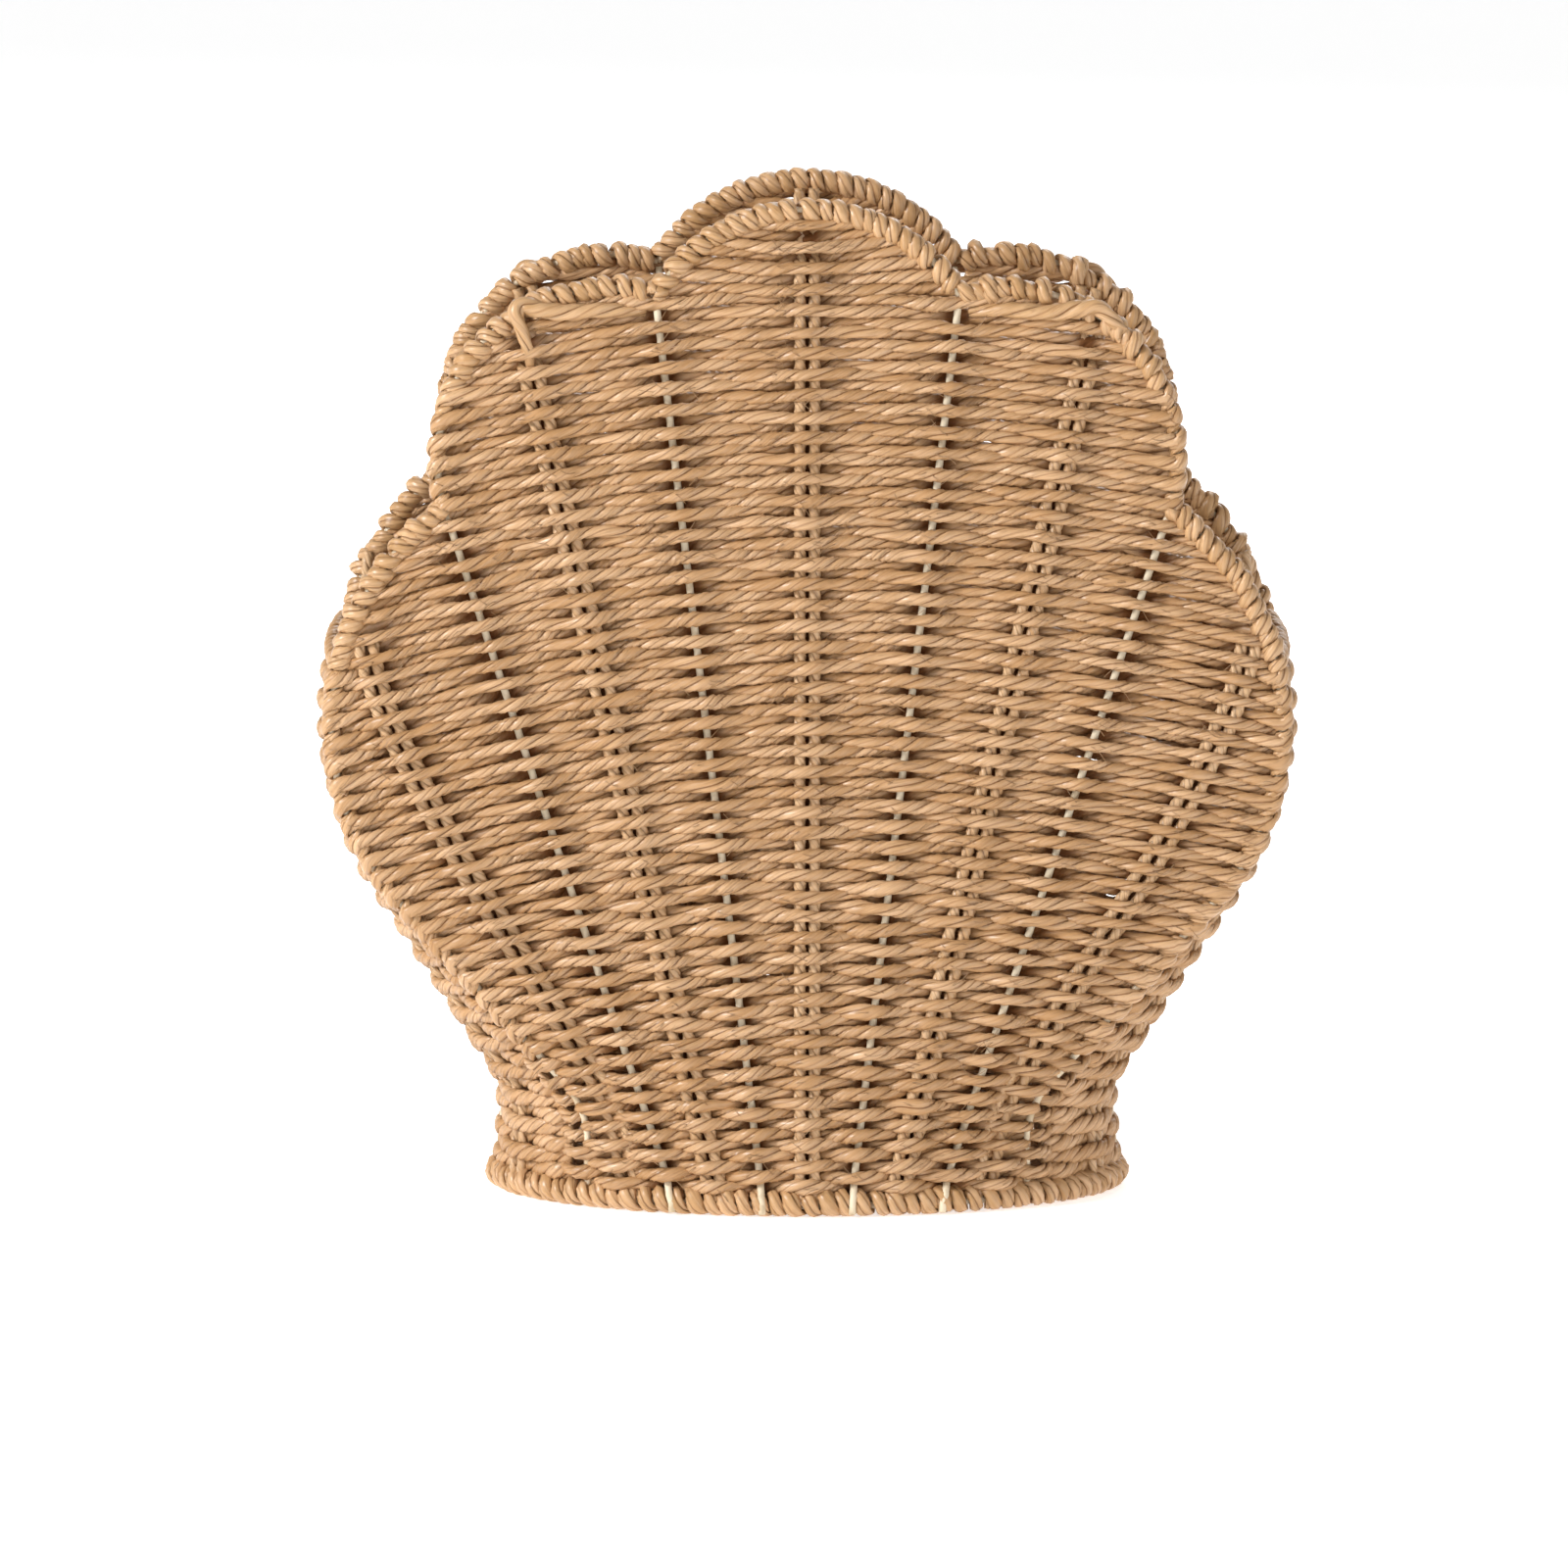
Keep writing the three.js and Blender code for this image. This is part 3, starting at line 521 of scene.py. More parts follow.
STRAIGHTEN_Z = 0.305
CROWN_SAG = -9.0
MEET_STEPS = 30
RIM_TUCK = 0.009
RIM_NEAR = 0.012
ROOM_INSIDE = 0.05
ROOM_LEAST = 0.001
ROOM_LEAN_Z = 0.01
ROOM_NOTCH_Z = 0.235
ROOM_NOTCH_SHARE = 0.6
PLACE_GAPS = (0.008, 0.018, 0.012)
LEAST_SLOPE = 1e-6
LOOP_R = 0.0024
LOOP_HIGH = 0.0029
LOOP_DEEP = 0.0016
LOOP_RINGS = 9
LOOPS_FROM_Z = 0.055
LOOPS_SLACK_X = 0.001
LOOPED_LOBE_Z = 0.280
CORNER_REACH = 0.0140
TAIL_ACROSS = 0.4
TAIL_POINTS = 60
TAIL_RINGS = 7
TAIL_WAVE = 1.25
PLY_ANGLES = (0, 34, 72, 90, 108, 146)
PLY_RADII = (0.88, 1.0, 0.86, 0.56, 0.86, 1.0)
FIBRE_R = 0.00014
FIBRE_SIDES = 3
FIBRE_RINGS = 6
FIBRES_A_BAND = 240
FIBRE_STAND = 0.0036
FIBRE_LENGTHS = (0.002, 0.006)
FIBRE_LEAN = 0.8
FIBRE_BEND = 150
FIBRE_LIFT = 0.25
FIBRE_CURL = 25
# Painted shade and shadow in the rope's colour: GROOVE_EDGE and FOLD_EDGE bound the shade in the ply grooves
# and folds, whose strength and relief ROPE_GROOVE sets; CREASE_WIDTH and CREASE_DARK give the shade along
# creases; SHADOW_DARK the shadow under neighbouring rows.
ROPE_GROOVE = 0.6
ROPE_FIBRE = 0.12
GROOVE_EDGE = 0.965
FOLD_EDGE = 0.985
CREASE_WIDTH = 0.03
CREASE_DARK = 0.18
SHADOW_DARK = 0.90
TONE_PER_METRE = 38.0
PATCH_PER_METRE = 7.0
PLY_TONE_STEP = 5.3
SEED_STEP = 13.7
COAT_ROUGHNESS = 0.36
COAT_IOR = 1.6
SPECULAR = 0.12
# The deep tone colours the fibre streaks and is also the painted shade of grooves, creases and rows under
# their neighbours.
WEFT_TONES = ((0.64, 0.395, 0.208, 1), (0.49, 0.272, 0.118, 1), (0.15, 0.046, 0.007, 1))
WEFT_SEED = 1.0
CHANCE_SEED = 41

chance = np.random.default_rng(CHANCE_SEED)


def rope_profile():
    """The outline of two plies pressed together, as radius against angle: a circle with a notch on either
    side where the plies meet, and a shallow dent for the fold in each ply."""
    angle = np.radians(np.concatenate([PLY_ANGLES, np.add(PLY_ANGLES, 180)]))
    return np.array(PLY_RADII * 2), angle


def rope_shade_group():
    """Colour and relief of twisted paper: plies of slightly different tone and fine fibres along each ply,
    with painted shade along a few sharp creases, in the grooves where the two plies meet and in each ply's
    fold, and painted shadow where a rope runs under its neighbours."""
    group = bpy.data.node_groups.new("twisted_paper", "ShaderNodeTree")
    for name in ("Pale", "Middle", "Deep"):
        group.interface.new_socket(name, in_out="INPUT", socket_type="NodeSocketColor")
    for name in ("Groove", "Fibre", "Seed"):
        group.interface.new_socket(name, in_out="INPUT", socket_type="NodeSocketFloat")
    group.interface.new_socket("Color", in_out="OUTPUT", socket_type="NodeSocketColor")
    for name in ("Roughness", "Height", "Gloss"):
        group.interface.new_socket(name, in_out="OUTPUT", socket_type="NodeSocketFloat")
    nodes, link = group.nodes, group.links.new
    given = nodes.new("NodeGroupInput")
    result = nodes.new("NodeGroupOutput")

    def fed(node, *values):
        """The first output of a node whose inputs are given in order, as numbers or as links."""
        for socket, value in zip(node.inputs, values):
            if isinstance(value, (int, float)):
                socket.default_value = value
            else:
                link(value, socket)
        return node.outputs[0]

    def maths(kind, *values, clamp=False):
        """One sum, product or other operation on its values."""
        node = nodes.new("ShaderNodeMath")
        node.operation = kind
        node.use_clamp = clamp
        return fed(node, *values)

    def weighted(a, share_a, b, share_b):
        """A times its share plus b times its share."""
        return maths("ADD", maths("MULTIPLY", a, share_a), maths("MULTIPLY", b, share_b))

    def noise(x, y, z, detail, rough=0.55):
        """Noise at a place whose three numbers are already scaled."""
        vector = fed(nodes.new("ShaderNodeCombineXYZ"), x, y, z)
        node = add_node(nodes, "TexNoise", Scale=1.0, Detail=detail, Roughness=rough)
        link(vector, node.inputs["Vector"])
        return node.outputs["Fac"]

    def lengthwise(per_metre, round_rope, detail, rough=0.55):
        """Noise drawn out along the rope: so many grains to the metre, and fewer round it."""
        round_x, round_y = maths("MULTIPLY", ring_x, round_rope), maths("MULTIPLY", ring_y, round_rope)
        return noise(maths("MULTIPLY", along, per_metre), round_x, round_y, detail, rough)

    def span(value, low, high, to_low=0.0, to_high=1.0):
        """A smooth step between two values of the input."""
        limits = {"From_Min": low, "From_Max": high, "To_Min": to_low, "To_Max": to_high}
        node = add_node(nodes, "MapRange", **limits)
        node.interpolation_type = "SMOOTHSTEP"
        link(value, node.inputs["Value"])
        return node.outputs["Result"]

    def mixed(factor, a, b):
        """Colour a where the factor is 0 and b where it is 1."""
        node = nodes.new("ShaderNodeMix")
        node.data_type = "RGBA"
        link(factor, node.inputs["Factor"])
        link(a, node.inputs["A"])
        link(b, node.inputs["B"])
        return node.outputs["Result"]

    place = nodes.new("ShaderNodeUVMap")
    parts = nodes.new("ShaderNodeSeparateXYZ")
    link(place.outputs["UV"], parts.inputs["Vector"])
    along, around = parts.outputs["X"], parts.outputs["Y"]
    turn = maths("MULTIPLY", around, FULL_TURN)
    ring_x, ring_y = maths("COSINE", turn), maths("SINE", turn)
    ply = maths("MODULO", maths("FLOOR", maths("ADD", maths("MULTIPLY", around, 2.0), 0.5)), 2.0)
    shift = maths("MULTIPLY", given.outputs["Seed"], SEED_STEP)
    # Painted shadow: the attribute that darkens a rope where it runs under its neighbours.
    painted_shadow_input = nodes.new("ShaderNodeAttribute")
    painted_shadow_input.attribute_name = "painted_shadow"

    tone_along = maths("MULTIPLY", along, TONE_PER_METRE)
    tone = noise(tone_along, maths("MULTIPLY", ply, PLY_TONE_STEP), shift, detail=3.0)
    patch = noise(maths("MULTIPLY", along, PATCH_PER_METRE), shift, 0.0, detail=2.0)
    fine = lengthwise(per_metre=130.0, round_rope=8.0, detail=4.0, rough=0.65)
    broad = lengthwise(per_metre=70.0, round_rope=2.4, detail=3.0)
    # Crease lines: a dent in the relief, and a dark line of painted shade in the colour.
    folds = lengthwise(per_metre=75.0, round_rope=4.4, detail=2.0)
    from_fold = maths("ABSOLUTE", maths("SUBTRACT", folds, 0.5))
    crease = span(from_fold, low=0.0, high=CREASE_WIDTH, to_low=1.0, to_high=0.0)
    # Painted shade in the groove where the plies meet and in each ply's fold, at a random strength along the
    # rope.
    meeting = span(maths("ABSOLUTE", ring_y), low=GROOVE_EDGE, high=1.0)
    fold_shade_share = span(tone, low=0.40, high=0.60, to_low=0.15, to_high=0.8)
    fold = maths("MULTIPLY", span(maths("ABSOLUTE", ring_x), low=FOLD_EDGE, high=1.0), fold_shade_share)
    groove = maths("MULTIPLY", maths("MAXIMUM", meeting, fold), given.outputs["Groove"])

    light = span(weighted(tone, 0.6, patch, 0.4), low=0.40, high=0.62)
    # Painted shadow: the colour goes towards the deep tone where the rope runs under its neighbours.
    shadow = span(painted_shadow_input.outputs["Fac"], low=0.15, high=0.95, to_high=SHADOW_DARK)
    grain = span(weighted(fine, 0.45, broad, 0.55), low=0.50, high=0.34)
    streak = maths("MULTIPLY", grain, given.outputs["Fibre"])
    body = mixed(light, given.outputs["Middle"], given.outputs["Pale"])
    # The deep tone goes in for the fibre streaks, which are the paper's own grain, and as painted shade along
    # the creases, in the grooves and folds, and as painted shadow under neighbouring rows.
    for dark in (streak, maths("MULTIPLY", crease, CREASE_DARK), maths("MAXIMUM", groove, shadow)):
        body = mixed(dark, body, given.outputs["Deep"])
    relief = maths("SUBTRACT", weighted(fine, 0.09, broad, 0.45), weighted(crease, 0.10, groove, 0.5))
    open_face = maths("SUBTRACT", 1.0, maths("MAXIMUM", groove, shadow), clamp=True)
    shiny = span(broad, low=0.35, high=0.65, to_low=0.25, to_high=1.0)
    rough = span(fine, low=0.35, high=0.65, to_low=0.40, to_high=0.66)
    link(maths("MULTIPLY", open_face, shiny), result.inputs["Gloss"])
    link(body, result.inputs["Color"])
    link(rough, result.inputs["Roughness"])
    link(relief, result.inputs["Height"])
    return group


twisted_paper = rope_shade_group()


def rope_material(name, tones, seed, groove=ROPE_GROOVE):
    """Twisted paper in one finish: its pale, middle and deep tone, the deep one also the colour of painted
    shade, with relief and a thin gloss.
    """
    material, shader = new_material(name)
    nodes, link = material.node_tree.nodes, material.node_tree.links.new
    shade = nodes.new("ShaderNodeGroup")
    shade.node_tree = twisted_paper
    for socket, value in zip(("Pale", "Middle", "Deep"), tones):
        shade.inputs[socket].default_value = value
    for socket, value in {"Groove": groove, "Fibre": ROPE_FIBRE, "Seed": seed}.items():
        shade.inputs[socket].default_value = value
    bump = add_node(nodes, "Bump", Strength=0.8, Distance=0.0009)
    link(shade.outputs["Color"], shader.inputs["Base Color"])
    link(shade.outputs["Roughness"], shader.inputs["Roughness"])
    link(shade.outputs["Height"], bump.inputs["Height"])
    link(bump.outputs["Normal"], shader.inputs["Normal"])
    link(shade.outputs["Gloss"], shader.inputs["Coat Weight"])
    shader.inputs["Coat Roughness"].default_value = COAT_ROUGHNESS
    shader.inputs["Coat IOR"].default_value = COAT_IOR
    shader.inputs["Specular IOR Level"].default_value = SPECULAR
    return material


weft_paper = rope_material("weft_paper", WEFT_TONES, WEFT_SEED)


def row_bend(z0):
    """Curvature of a row. The stakes fan out from a point below the base, so the rows are arcs that fall to
    the sides; the last few, which fill the crown of the middle lobe, sag instead."""
    fan = np.maximum(z0 - FAN_FROM_Z, FAN_LEAST) / (FAN_EASE * (z0 - FAN_Z) ** 2)
    return fan + (CROWN_SAG - fan) * smooth((z0 - STRAIGHTEN_Z) / (TOP_Z - STRAIGHTEN_Z))


def row_z(z0, x):
    """Height of a row: its height in the middle less half its curvature times the square of the distance
    from there."""
    return z0 - row_bend(z0) * x**2 / 2


def edge_meet(z0, near):
    """Height where a row meets the panel's edge, found by going back and forth between the two curves."""
    z = near
    for _ in range(MEET_STEPS):
        z = float(row_z(z0, edge_x(z)))
    return z


def room(x, z):
    """Distance inwards from the rim of the panel: the radius of the lobe that lies outside a point less the
    distance from its middle, or along the flank and foot the width that is left."""
    x = np.abs(x)
    to_side = SIDE_LOBE[2] - np.hypot(x - SIDE_LOBE[0], z - SIDE_LOBE[1])
    low = np.where(x < SIDE_LOBE[0], ROOM_INSIDE, to_side)
    lean = np.where(z > FOOT_BEND[1] + ROOM_LEAN_Z, math.cos(FLANK_LEAN), 1.0)
    low = np.where(z <= FLANK_TOP[1], (ridge_x(z) - x) * lean, low)
    to_upper = UPPER_LOBE[2] - np.hypot(x - UPPER_LOBE[0], z - UPPER_LOBE[1])
    to_middle = MIDDLE_LOBE[2] - np.hypot(x - MIDDLE_LOBE[0], z - MIDDLE_LOBE[1])
    under_notch = np.hypot(x - INNER_NOTCH[0], z - INNER_NOTCH[1])
    inner = np.where(z <= INNER_NOTCH[1], np.maximum(under_notch, ROOM_LEAST), to_middle)
    high = np.where(x >= INNER_NOTCH[0], to_upper, inner)
    beside = np.hypot(x - OUTER_NOTCH[0], z - OUTER_NOTCH[1])
    by_notch = (x < OUTER_NOTCH[0]) & (z > ROOM_NOTCH_Z)
    low = np.where(by_notch, np.minimum(np.maximum(low, beside * ROOM_NOTCH_SHARE), beside), low)
    return np.where(z <= OUTER_NOTCH[1], low, high)


def stake_count(x, z):
    """The running number of stakes from the middle, whole on each stake and in between by distance."""
    lines = [stake_x(place, z) for place in range(OUTER_STAKE)]
    outer = np.where(z <= OUTER_NOTCH[1], stake_x(OUTER_STAKE, z), edge_x(z))
    warp = stake_x(SIDE_WARP, np.minimum(z, SIDE_WARP_TOP[1]))
    ridge = ridge_x(np.minimum(z, OUTER_NOTCH[1]))
    for line, gap in zip((outer, warp, ridge), PLACE_GAPS):
        lines.append(np.maximum(line, lines[-1] + gap))
    far = np.abs(x)
    count = 0 * x
    for a, b in zip(lines[:-1], lines[1:]):
        count = count + np.clip((far - a) / (b - a), 0, 1)
    return np.sign(x) * count


def wander(x, size, reach=WANDER_REACH):
    """A slow random drift along a row: three waves of random phase and strength."""
    phase = chance.uniform(0, FULL_TURN, 3)
    strength = chance.normal(0, size, 3)
    waves = enumerate(zip(strength, phase), 1)
    return sum(a * np.sin(2 * math.pi * x * n / reach + p) for n, (a, p) in waves)


def edge_frame(facing, sideways, z):
    """The edge wire's point at a height, and the unit directions square to the wire: ahead and outwards."""
    point = np.stack([sideways * edge_x(z), facing * half_depth(z), z], axis=-1)
    higher = z + SLOPE_STEP
    after = np.stack([sideways * edge_x(higher), facing * half_depth(higher), higher], axis=-1)
    along = unit(after - point)
    ahead = square_to(constant(point, (0.0, facing, 0.0)), along)
    out = np.cross(along, ahead)
    out = out * np.sign(np.sum(out * np.array([sideways, 0.0, 0.0]), axis=-1, keepdims=True))
    return point, ahead, out


def end_loop(facing, sideways, z_from, z_to):
    """Half a turn of rope round the edge wire, from in front of it at one row to behind it at the next."""
    turn = np.linspace(0, math.pi, LOOP_RINGS)[1:]
    point, ahead, out = edge_frame(facing, sideways, z_from + (z_to - z_from) * turn / math.pi)
    radial = np.cos(turn)[:, None] * ahead + np.sin(turn)[:, None] * out
    return point + LOOP_R * radial, radial


def corner_tail(facing, sideways, z):
    """The last of a low row: past the bare corner wire, then dipping in behind the rows of the gusset, as a
    cosine of the distance."""
    across = facing * (1 - np.linspace(0, TAIL_ACROSS, TAIL_POINTS)[1:])
    path = gusset_point(sideways, across, np.full(across.shape, z))
    corner = gusset_point(sideways, np.array([facing * 1.0]), np.array([z]))
    s = np.linalg.norm(path - corner, axis=1)
    keep = s < CORNER_REACH
    path, s, across = path[keep], s[keep], across[keep]
    outward = gusset_outward(sideways, across, np.full(across.shape, z))
    path = path + outward * (WEAVE_SWING * np.cos(math.pi * s / (TAIL_WAVE * CORNER_REACH)))[:, None]
    steps = np.round(np.linspace(0, len(path) - 1, TAIL_RINGS)[1:]).astype(int)
    return path[steps], outward[steps]


def looped(x, z):
    """Whether a row that ends here turns back round the edge wire: along the ridges and the upper lobes'
    sides."""
    on_ridge = x > CORNER_X - LOOPS_SLACK_X and z < GUSSET_TOP_Z
    on_upper_lobe = x > UPPER_LOBE[0] and OUTER_NOTCH[1] < z < LOOPED_LOBE_Z
    return on_ridge or on_upper_lobe


def row_end(facing, side, number, z0, x_end):
    """How a row that comes out over the ridge goes on from there: high up in a loop to the next row, low down
    in a tail into the gusset. Gives its path, outward directions, half heights, half depths and painted
    shadow, which is none."""
    near_z = float(row_z(z0, x_end))
    z_end = edge_meet(z0, near_z)
    if z_end > LOOPS_FROM_Z:
        other = ROW_FIRST_Z + ROW_PITCH * (number + side)
        path, outward = end_loop(facing, side, z_end, edge_meet(other, near_z))
        high, deep = LOOP_HIGH, LOOP_DEEP
    else:
        path, outward = corner_tail(facing, side, z_end)
        high, deep = ROPE_PRESSED, ROPE_DEEP
    count = len(path)
    return path, outward, np.full(count, high), np.full(count, deep), np.zeros(count)


def joined(row, end, side):
    """A row with its end joined on, turned about and put before it on the left side, or after it on the
    right."""
    if side < 0:
        return [np.concatenate([b[::-1], a]) for a, b in zip(row, end)]
    return [np.concatenate([a, b]) for a, b in zip(row, end)]


def weft_strand(facing, number, z0, thickness, xa, xb):
    """One rope of a row, between two places on the rim. Its height falls as an arc from the middle, and its
    distance from the panel's surface swings as a cosine of the stake count, so that it goes over and under
    by turns."""
    xs = np.linspace(xa, xb, int((xb - xa) / ROPE_STEP) + 1)
    z = row_z(z0, xs)
    clear = np.maximum(room(xs, z), 0)
    stake = stake_count(xs, z)
    swing = np.cos(math.pi * (stake + number))
    lift = np.sin(math.pi * (stake + number))
    away = smooth(np.minimum(xs - xa, xb - xs) / END_CALM)
    z = z + wander(xs, ROW_WANDER) * away + ROW_TILT * lift * away
    ridges = [side for side, end in ((-1, xa), (1, xb)) if looped(abs(end), row_z(z0, end))]
    tuck = np.where(xs < 0.5 * (xa + xb), float(-1 not in ridges), float(1 not in ridges))
    apart = np.abs(stake - np.round(stake)) / np.maximum(np.abs(np.gradient(stake, xs)), LEAST_SLOPE)
    depth = FREE_SWING + (WEAVE_SWING - FREE_SWING) * np.exp(-((apart / STAKE_REACH) ** 2))
    depth = depth * (1 - tuck * (1 - smooth(clear / RIM_TUCK)))
    near = smooth(clear / RIM_NEAR)
    depth = depth + (1 - tuck) * (1 - near) * (LOOP_R - depth)
    outward = panel_outward(facing, xs, z)
    path = panel_point(facing, xs, z) + outward * (depth * swing)[:, None]
    beside = smooth(np.abs(stake) - SIDE_FROM)
    # Painted shadow: around each stake the rope's side that dips under its neighbours is darkened, over a
    # wider reach towards the ridges.
    reach = SHADOW_REACH * (1 + SIDE_SHADOW * beside)
    sunk = -np.sign(swing) * np.exp(-((apart / reach) ** 2)) * away
    free = swing**2
    fat = thickness + wander(xs, ROPE_UNEVEN, ROPE_UNEVEN_REACH)
    shown = ROPE_HALF_LOW + (ROPE_HALF_HIGH - ROPE_HALF_LOW) * min(z0 / TOP_Z, 1)
    full = np.where(swing > 0, shown * (1 - SIDE_SLIM * beside), ROPE_HALF_UNDER)
    pressed = ROPE_PRESSED * (1 - SIDE_SLIM * beside / 2)
    high = (pressed + (full - pressed) * free) * fat
    deep = (ROPE_DEEP_PRESSED + (ROPE_DEEP - ROPE_DEEP_PRESSED) * free) * fat
    over = (number + RIDGE_PLACE) % 2 == 0
    at_ridge = (1 - tuck) * (1 - near) * over
    high = high + (LOOP_HIGH - high) * at_ridge
    deep = deep + (LOOP_DEEP - deep) * at_ridge
    row = (path, outward, high, deep, sunk)
    for side in ridges if over else ():
        row = joined(row, row_end(facing, side, number, z0, xa if side < 0 else xb), side)
    path, outward, high, deep, sunk = row
    lay = ROPE_LAY * chance.uniform(*ROPE_LAY_RANGE)
    twist = chance.uniform(0, math.pi) + wander(lengths_along(path), TWIST_WANDER, TWIST_REACH)
    return carried(path, outward, rope_profile(), high, deep, lay, twist, sunk=sunk)


def weft_row(facing, number):
    """One row of a panel as strands of rope, one for each stretch of it that lies inside the rim."""
    z0 = ROW_FIRST_Z + ROW_PITCH * number + chance.normal(0, ROW_UNEVEN_Z)
    thickness = 1 + chance.normal(0, ROPE_UNEVEN / 2)
    x = np.arange(-ROW_SCAN_X, ROW_SCAN_X, ROW_SCAN_STEP)
    inside = room(x, row_z(z0, x)) > 0.0
    edges = np.flatnonzero(np.diff(inside.astype(int)))
    stretches = [(x[a], x[b + 1]) for a, b in zip(edges[::2], edges[1::2])]
    kept = [(xa, xb) for xa, xb in stretches if xb - xa >= SHORTEST_ROW]
    return [weft_strand(facing, number, z0, thickness, xa, xb) for xa, xb in kept]


def loose_fibres(facing, strands, wanted):
    """Hairs of paper that stand off the ropes: from a point of the outer face, a line along the rope that
    bends up or down and away by the square of its length, of a thin three-sided section."""
    hairs = []
    profile = (np.ones(FIBRE_SIDES), np.arange(FIBRE_SIDES) * 2 * math.pi / FIBRE_SIDES)
    out, up = np.array([0.0, facing, 0.0]), np.array([0.0, 0.0, 1.0])
    while len(hairs) < wanted:
        grid = strands[chance.integers(len(strands))][0]
        ring = chance.integers(1, len(grid) - 1)
        root = grid[ring][np.argmax(facing * grid[ring][:, 1])]
        s = np.linspace(0, 1, FIBRE_RINGS)[:, None] * chance.uniform(*FIBRE_LENGTHS)
        lean = chance.uniform(-FIBRE_LEAN, FIBRE_LEAN)
        bend = chance.uniform(-FIBRE_BEND, FIBRE_BEND)
        if facing * root[1] - panel_depth(root[0], root[2]) < FIBRE_STAND:
            continue
        ahead = unit(grid[ring + 1].mean(axis=0) - grid[ring - 1].mean(axis=0)) * chance.choice((-1, 1))
        line = root + (ahead + lean * up + FIBRE_LIFT * out) * s + (bend * up + FIBRE_CURL * out) * s**2
        hairs.append(carried(line, constant(line, out), profile, FIBRE_R, FIBRE_R))
    return hairs


for face, facing in FACES.items():
    for band, (start, end) in BANDS.items():
        rows = [strand for number in range(start, end) for strand in weft_row(facing, number)]
        rows += loose_fibres(facing, rows, FIBRES_A_BAND)
        nodes = [face + "_panel_weave"] if band == "lower" else []
        build_piece(face + "_weft_" + band, rows, weft_paper, nodes)

# Warps
# Between the stakes each lobe has a warp of two thin twisted ropes side by side, which go in behind the
# rows at the crown of the lobe, run down inside the weave and end in the base ring.
WARP_PLACES = (-SIDE_WARP, -2, 0, 2, SIDE_WARP)
WARP_POINTS = 200
WARP_HALF = 0.0022
WARP_FLAT = 0.9
WARP_APART = 0.0050
WARP_LAY = 0.0150
WARP_STEP = 0.0013
WARP_SHORT = 0.002
WARP_OUT = 0.0009
WARP_OUT_Z = 0.090
WARP_OUT_FADE = 0.05
WARP_TUCK = 0.0045
WARP_TUCK_FROM = 0.020
WARP_TUCK_FADE = 0.006
GUSSET_WARPS = {"front": -0.5, "back": 0.5}
GUSSET_WARP_POINTS = 120
# The deep tone colours the fibre streaks and is also the painted shade of the warps' grooves and creases.
WARP_TONES = ((0.69, 0.45, 0.245, 1), (0.55, 0.33, 0.16, 1), (0.20, 0.08, 0.022, 1))
WARP_SEED = 2.0
# Strength of the painted shade in the warps' ply grooves and folds, and of their relief.
WARP_GROOVE = 0.45

warp_paper = rope_material("warp_paper", WARP_TONES, WARP_SEED, WARP_GROOVE)


def warp_pair(path, outward):
    """Two thin ropes on either side of a path, at half their distance apart along the surface."""
    tangent = unit(np.gradient(path, axis=0))
    aside = unit(np.cross(tangent, outward))
    pair = []
    for sign in (-1, 1):
        shifted = spread(path + aside * sign * WARP_APART / 2, WARP_STEP)
        share = np.linspace(0, 1, len(shifted)) * (len(path) - 1)
        facing_out = points_at(share, np.arange(len(path)), outward)
        turn = chance.uniform(0, math.pi)
        deep = WARP_HALF * WARP_FLAT
        pair.append(carried(shifted, facing_out, rope_profile(), WARP_HALF, deep, WARP_LAY, turn))
    return pair


for face, facing in FACES.items():
    ropes = []
    for place in WARP_PLACES:
        top = TOPS[abs(place)][1]
        z = np.linspace(RING_Z, top - WARP_SHORT, WARP_POINTS)
        x = (-1 if place < 0 else 1) * stake_x(abs(place), z)
        outward = panel_outward(facing, x, z)
        out = np.full(z.shape, WARP_OUT)
        if abs(place) == SIDE_WARP:
            out = out * smooth((z - WARP_OUT_Z) / WARP_OUT_FADE)
        out = out - WARP_TUCK * smooth((z - top + WARP_TUCK_FROM) / WARP_TUCK_FADE)
        ropes += warp_pair(panel_point(facing, x, z) + outward * out[:, None], outward)
    names = numbered(face + "_warp_", WARP_PLACES)
    build_piece(face + "_warps", ropes, warp_paper, names)

for side, sideways in SIDES.items():
    ropes = []
    for share in GUSSET_WARPS.values():
        z = np.linspace(RING_Z, GUSSET_TOP_Z, GUSSET_WARP_POINTS)
        across = np.full(z.shape, share)
        ropes += warp_pair(gusset_point(sideways, across, z), gusset_outward(sideways, across, z))
    names = [side + "_gusset_warp_" + place for place in GUSSET_WARPS]
    build_piece(side + "_gusset_warps", ropes, warp_paper, names)

# Side gussets
# A gusset joins the two ridges of a side with rows of the same rope, laid closer together than they are
# thick and tucked in behind the loops on the ridges. Two ropes twined round each other close its top.
GUSSET_PITCH = 0.0049
GUSSET_FIRST_Z = 0.0112
GUSSET_LAST_GAP = 0.002
GUSSET_SCAN_POINTS = 600
GUSSET_SWING = 0.0021
GUSSET_MIDDLE_SWING = 0.0009
GUSSET_MIDDLE = 0.5
GUSSET_ROPE_HALF = 0.0033
GUSSET_UNEVEN = 0.025
GUSSET_UNEVEN_REACH = 0.5
GUSSET_WANDER = 0.00012
GUSSET_WANDER_REACH = 0.8
GUSSET_LAY = 0.0175
GUSSET_LAY_RANGE = (0.93, 1.08)
GUSSET_END = 0.0030
GUSSET_LOW_END = 0.0075
GUSSET_TUCK = 0.0022
GUSSET_TUCK_FADE = 0.007
BORDER_PITCH = 0.017
BORDER_LAY = 1.7
BORDER_R = 0.0020
BORDER_HIGH = 0.0026
BORDER_DEEP = 0.0018
BORDER_SCAN_POINTS = 400
BORDER_POINTS = 110


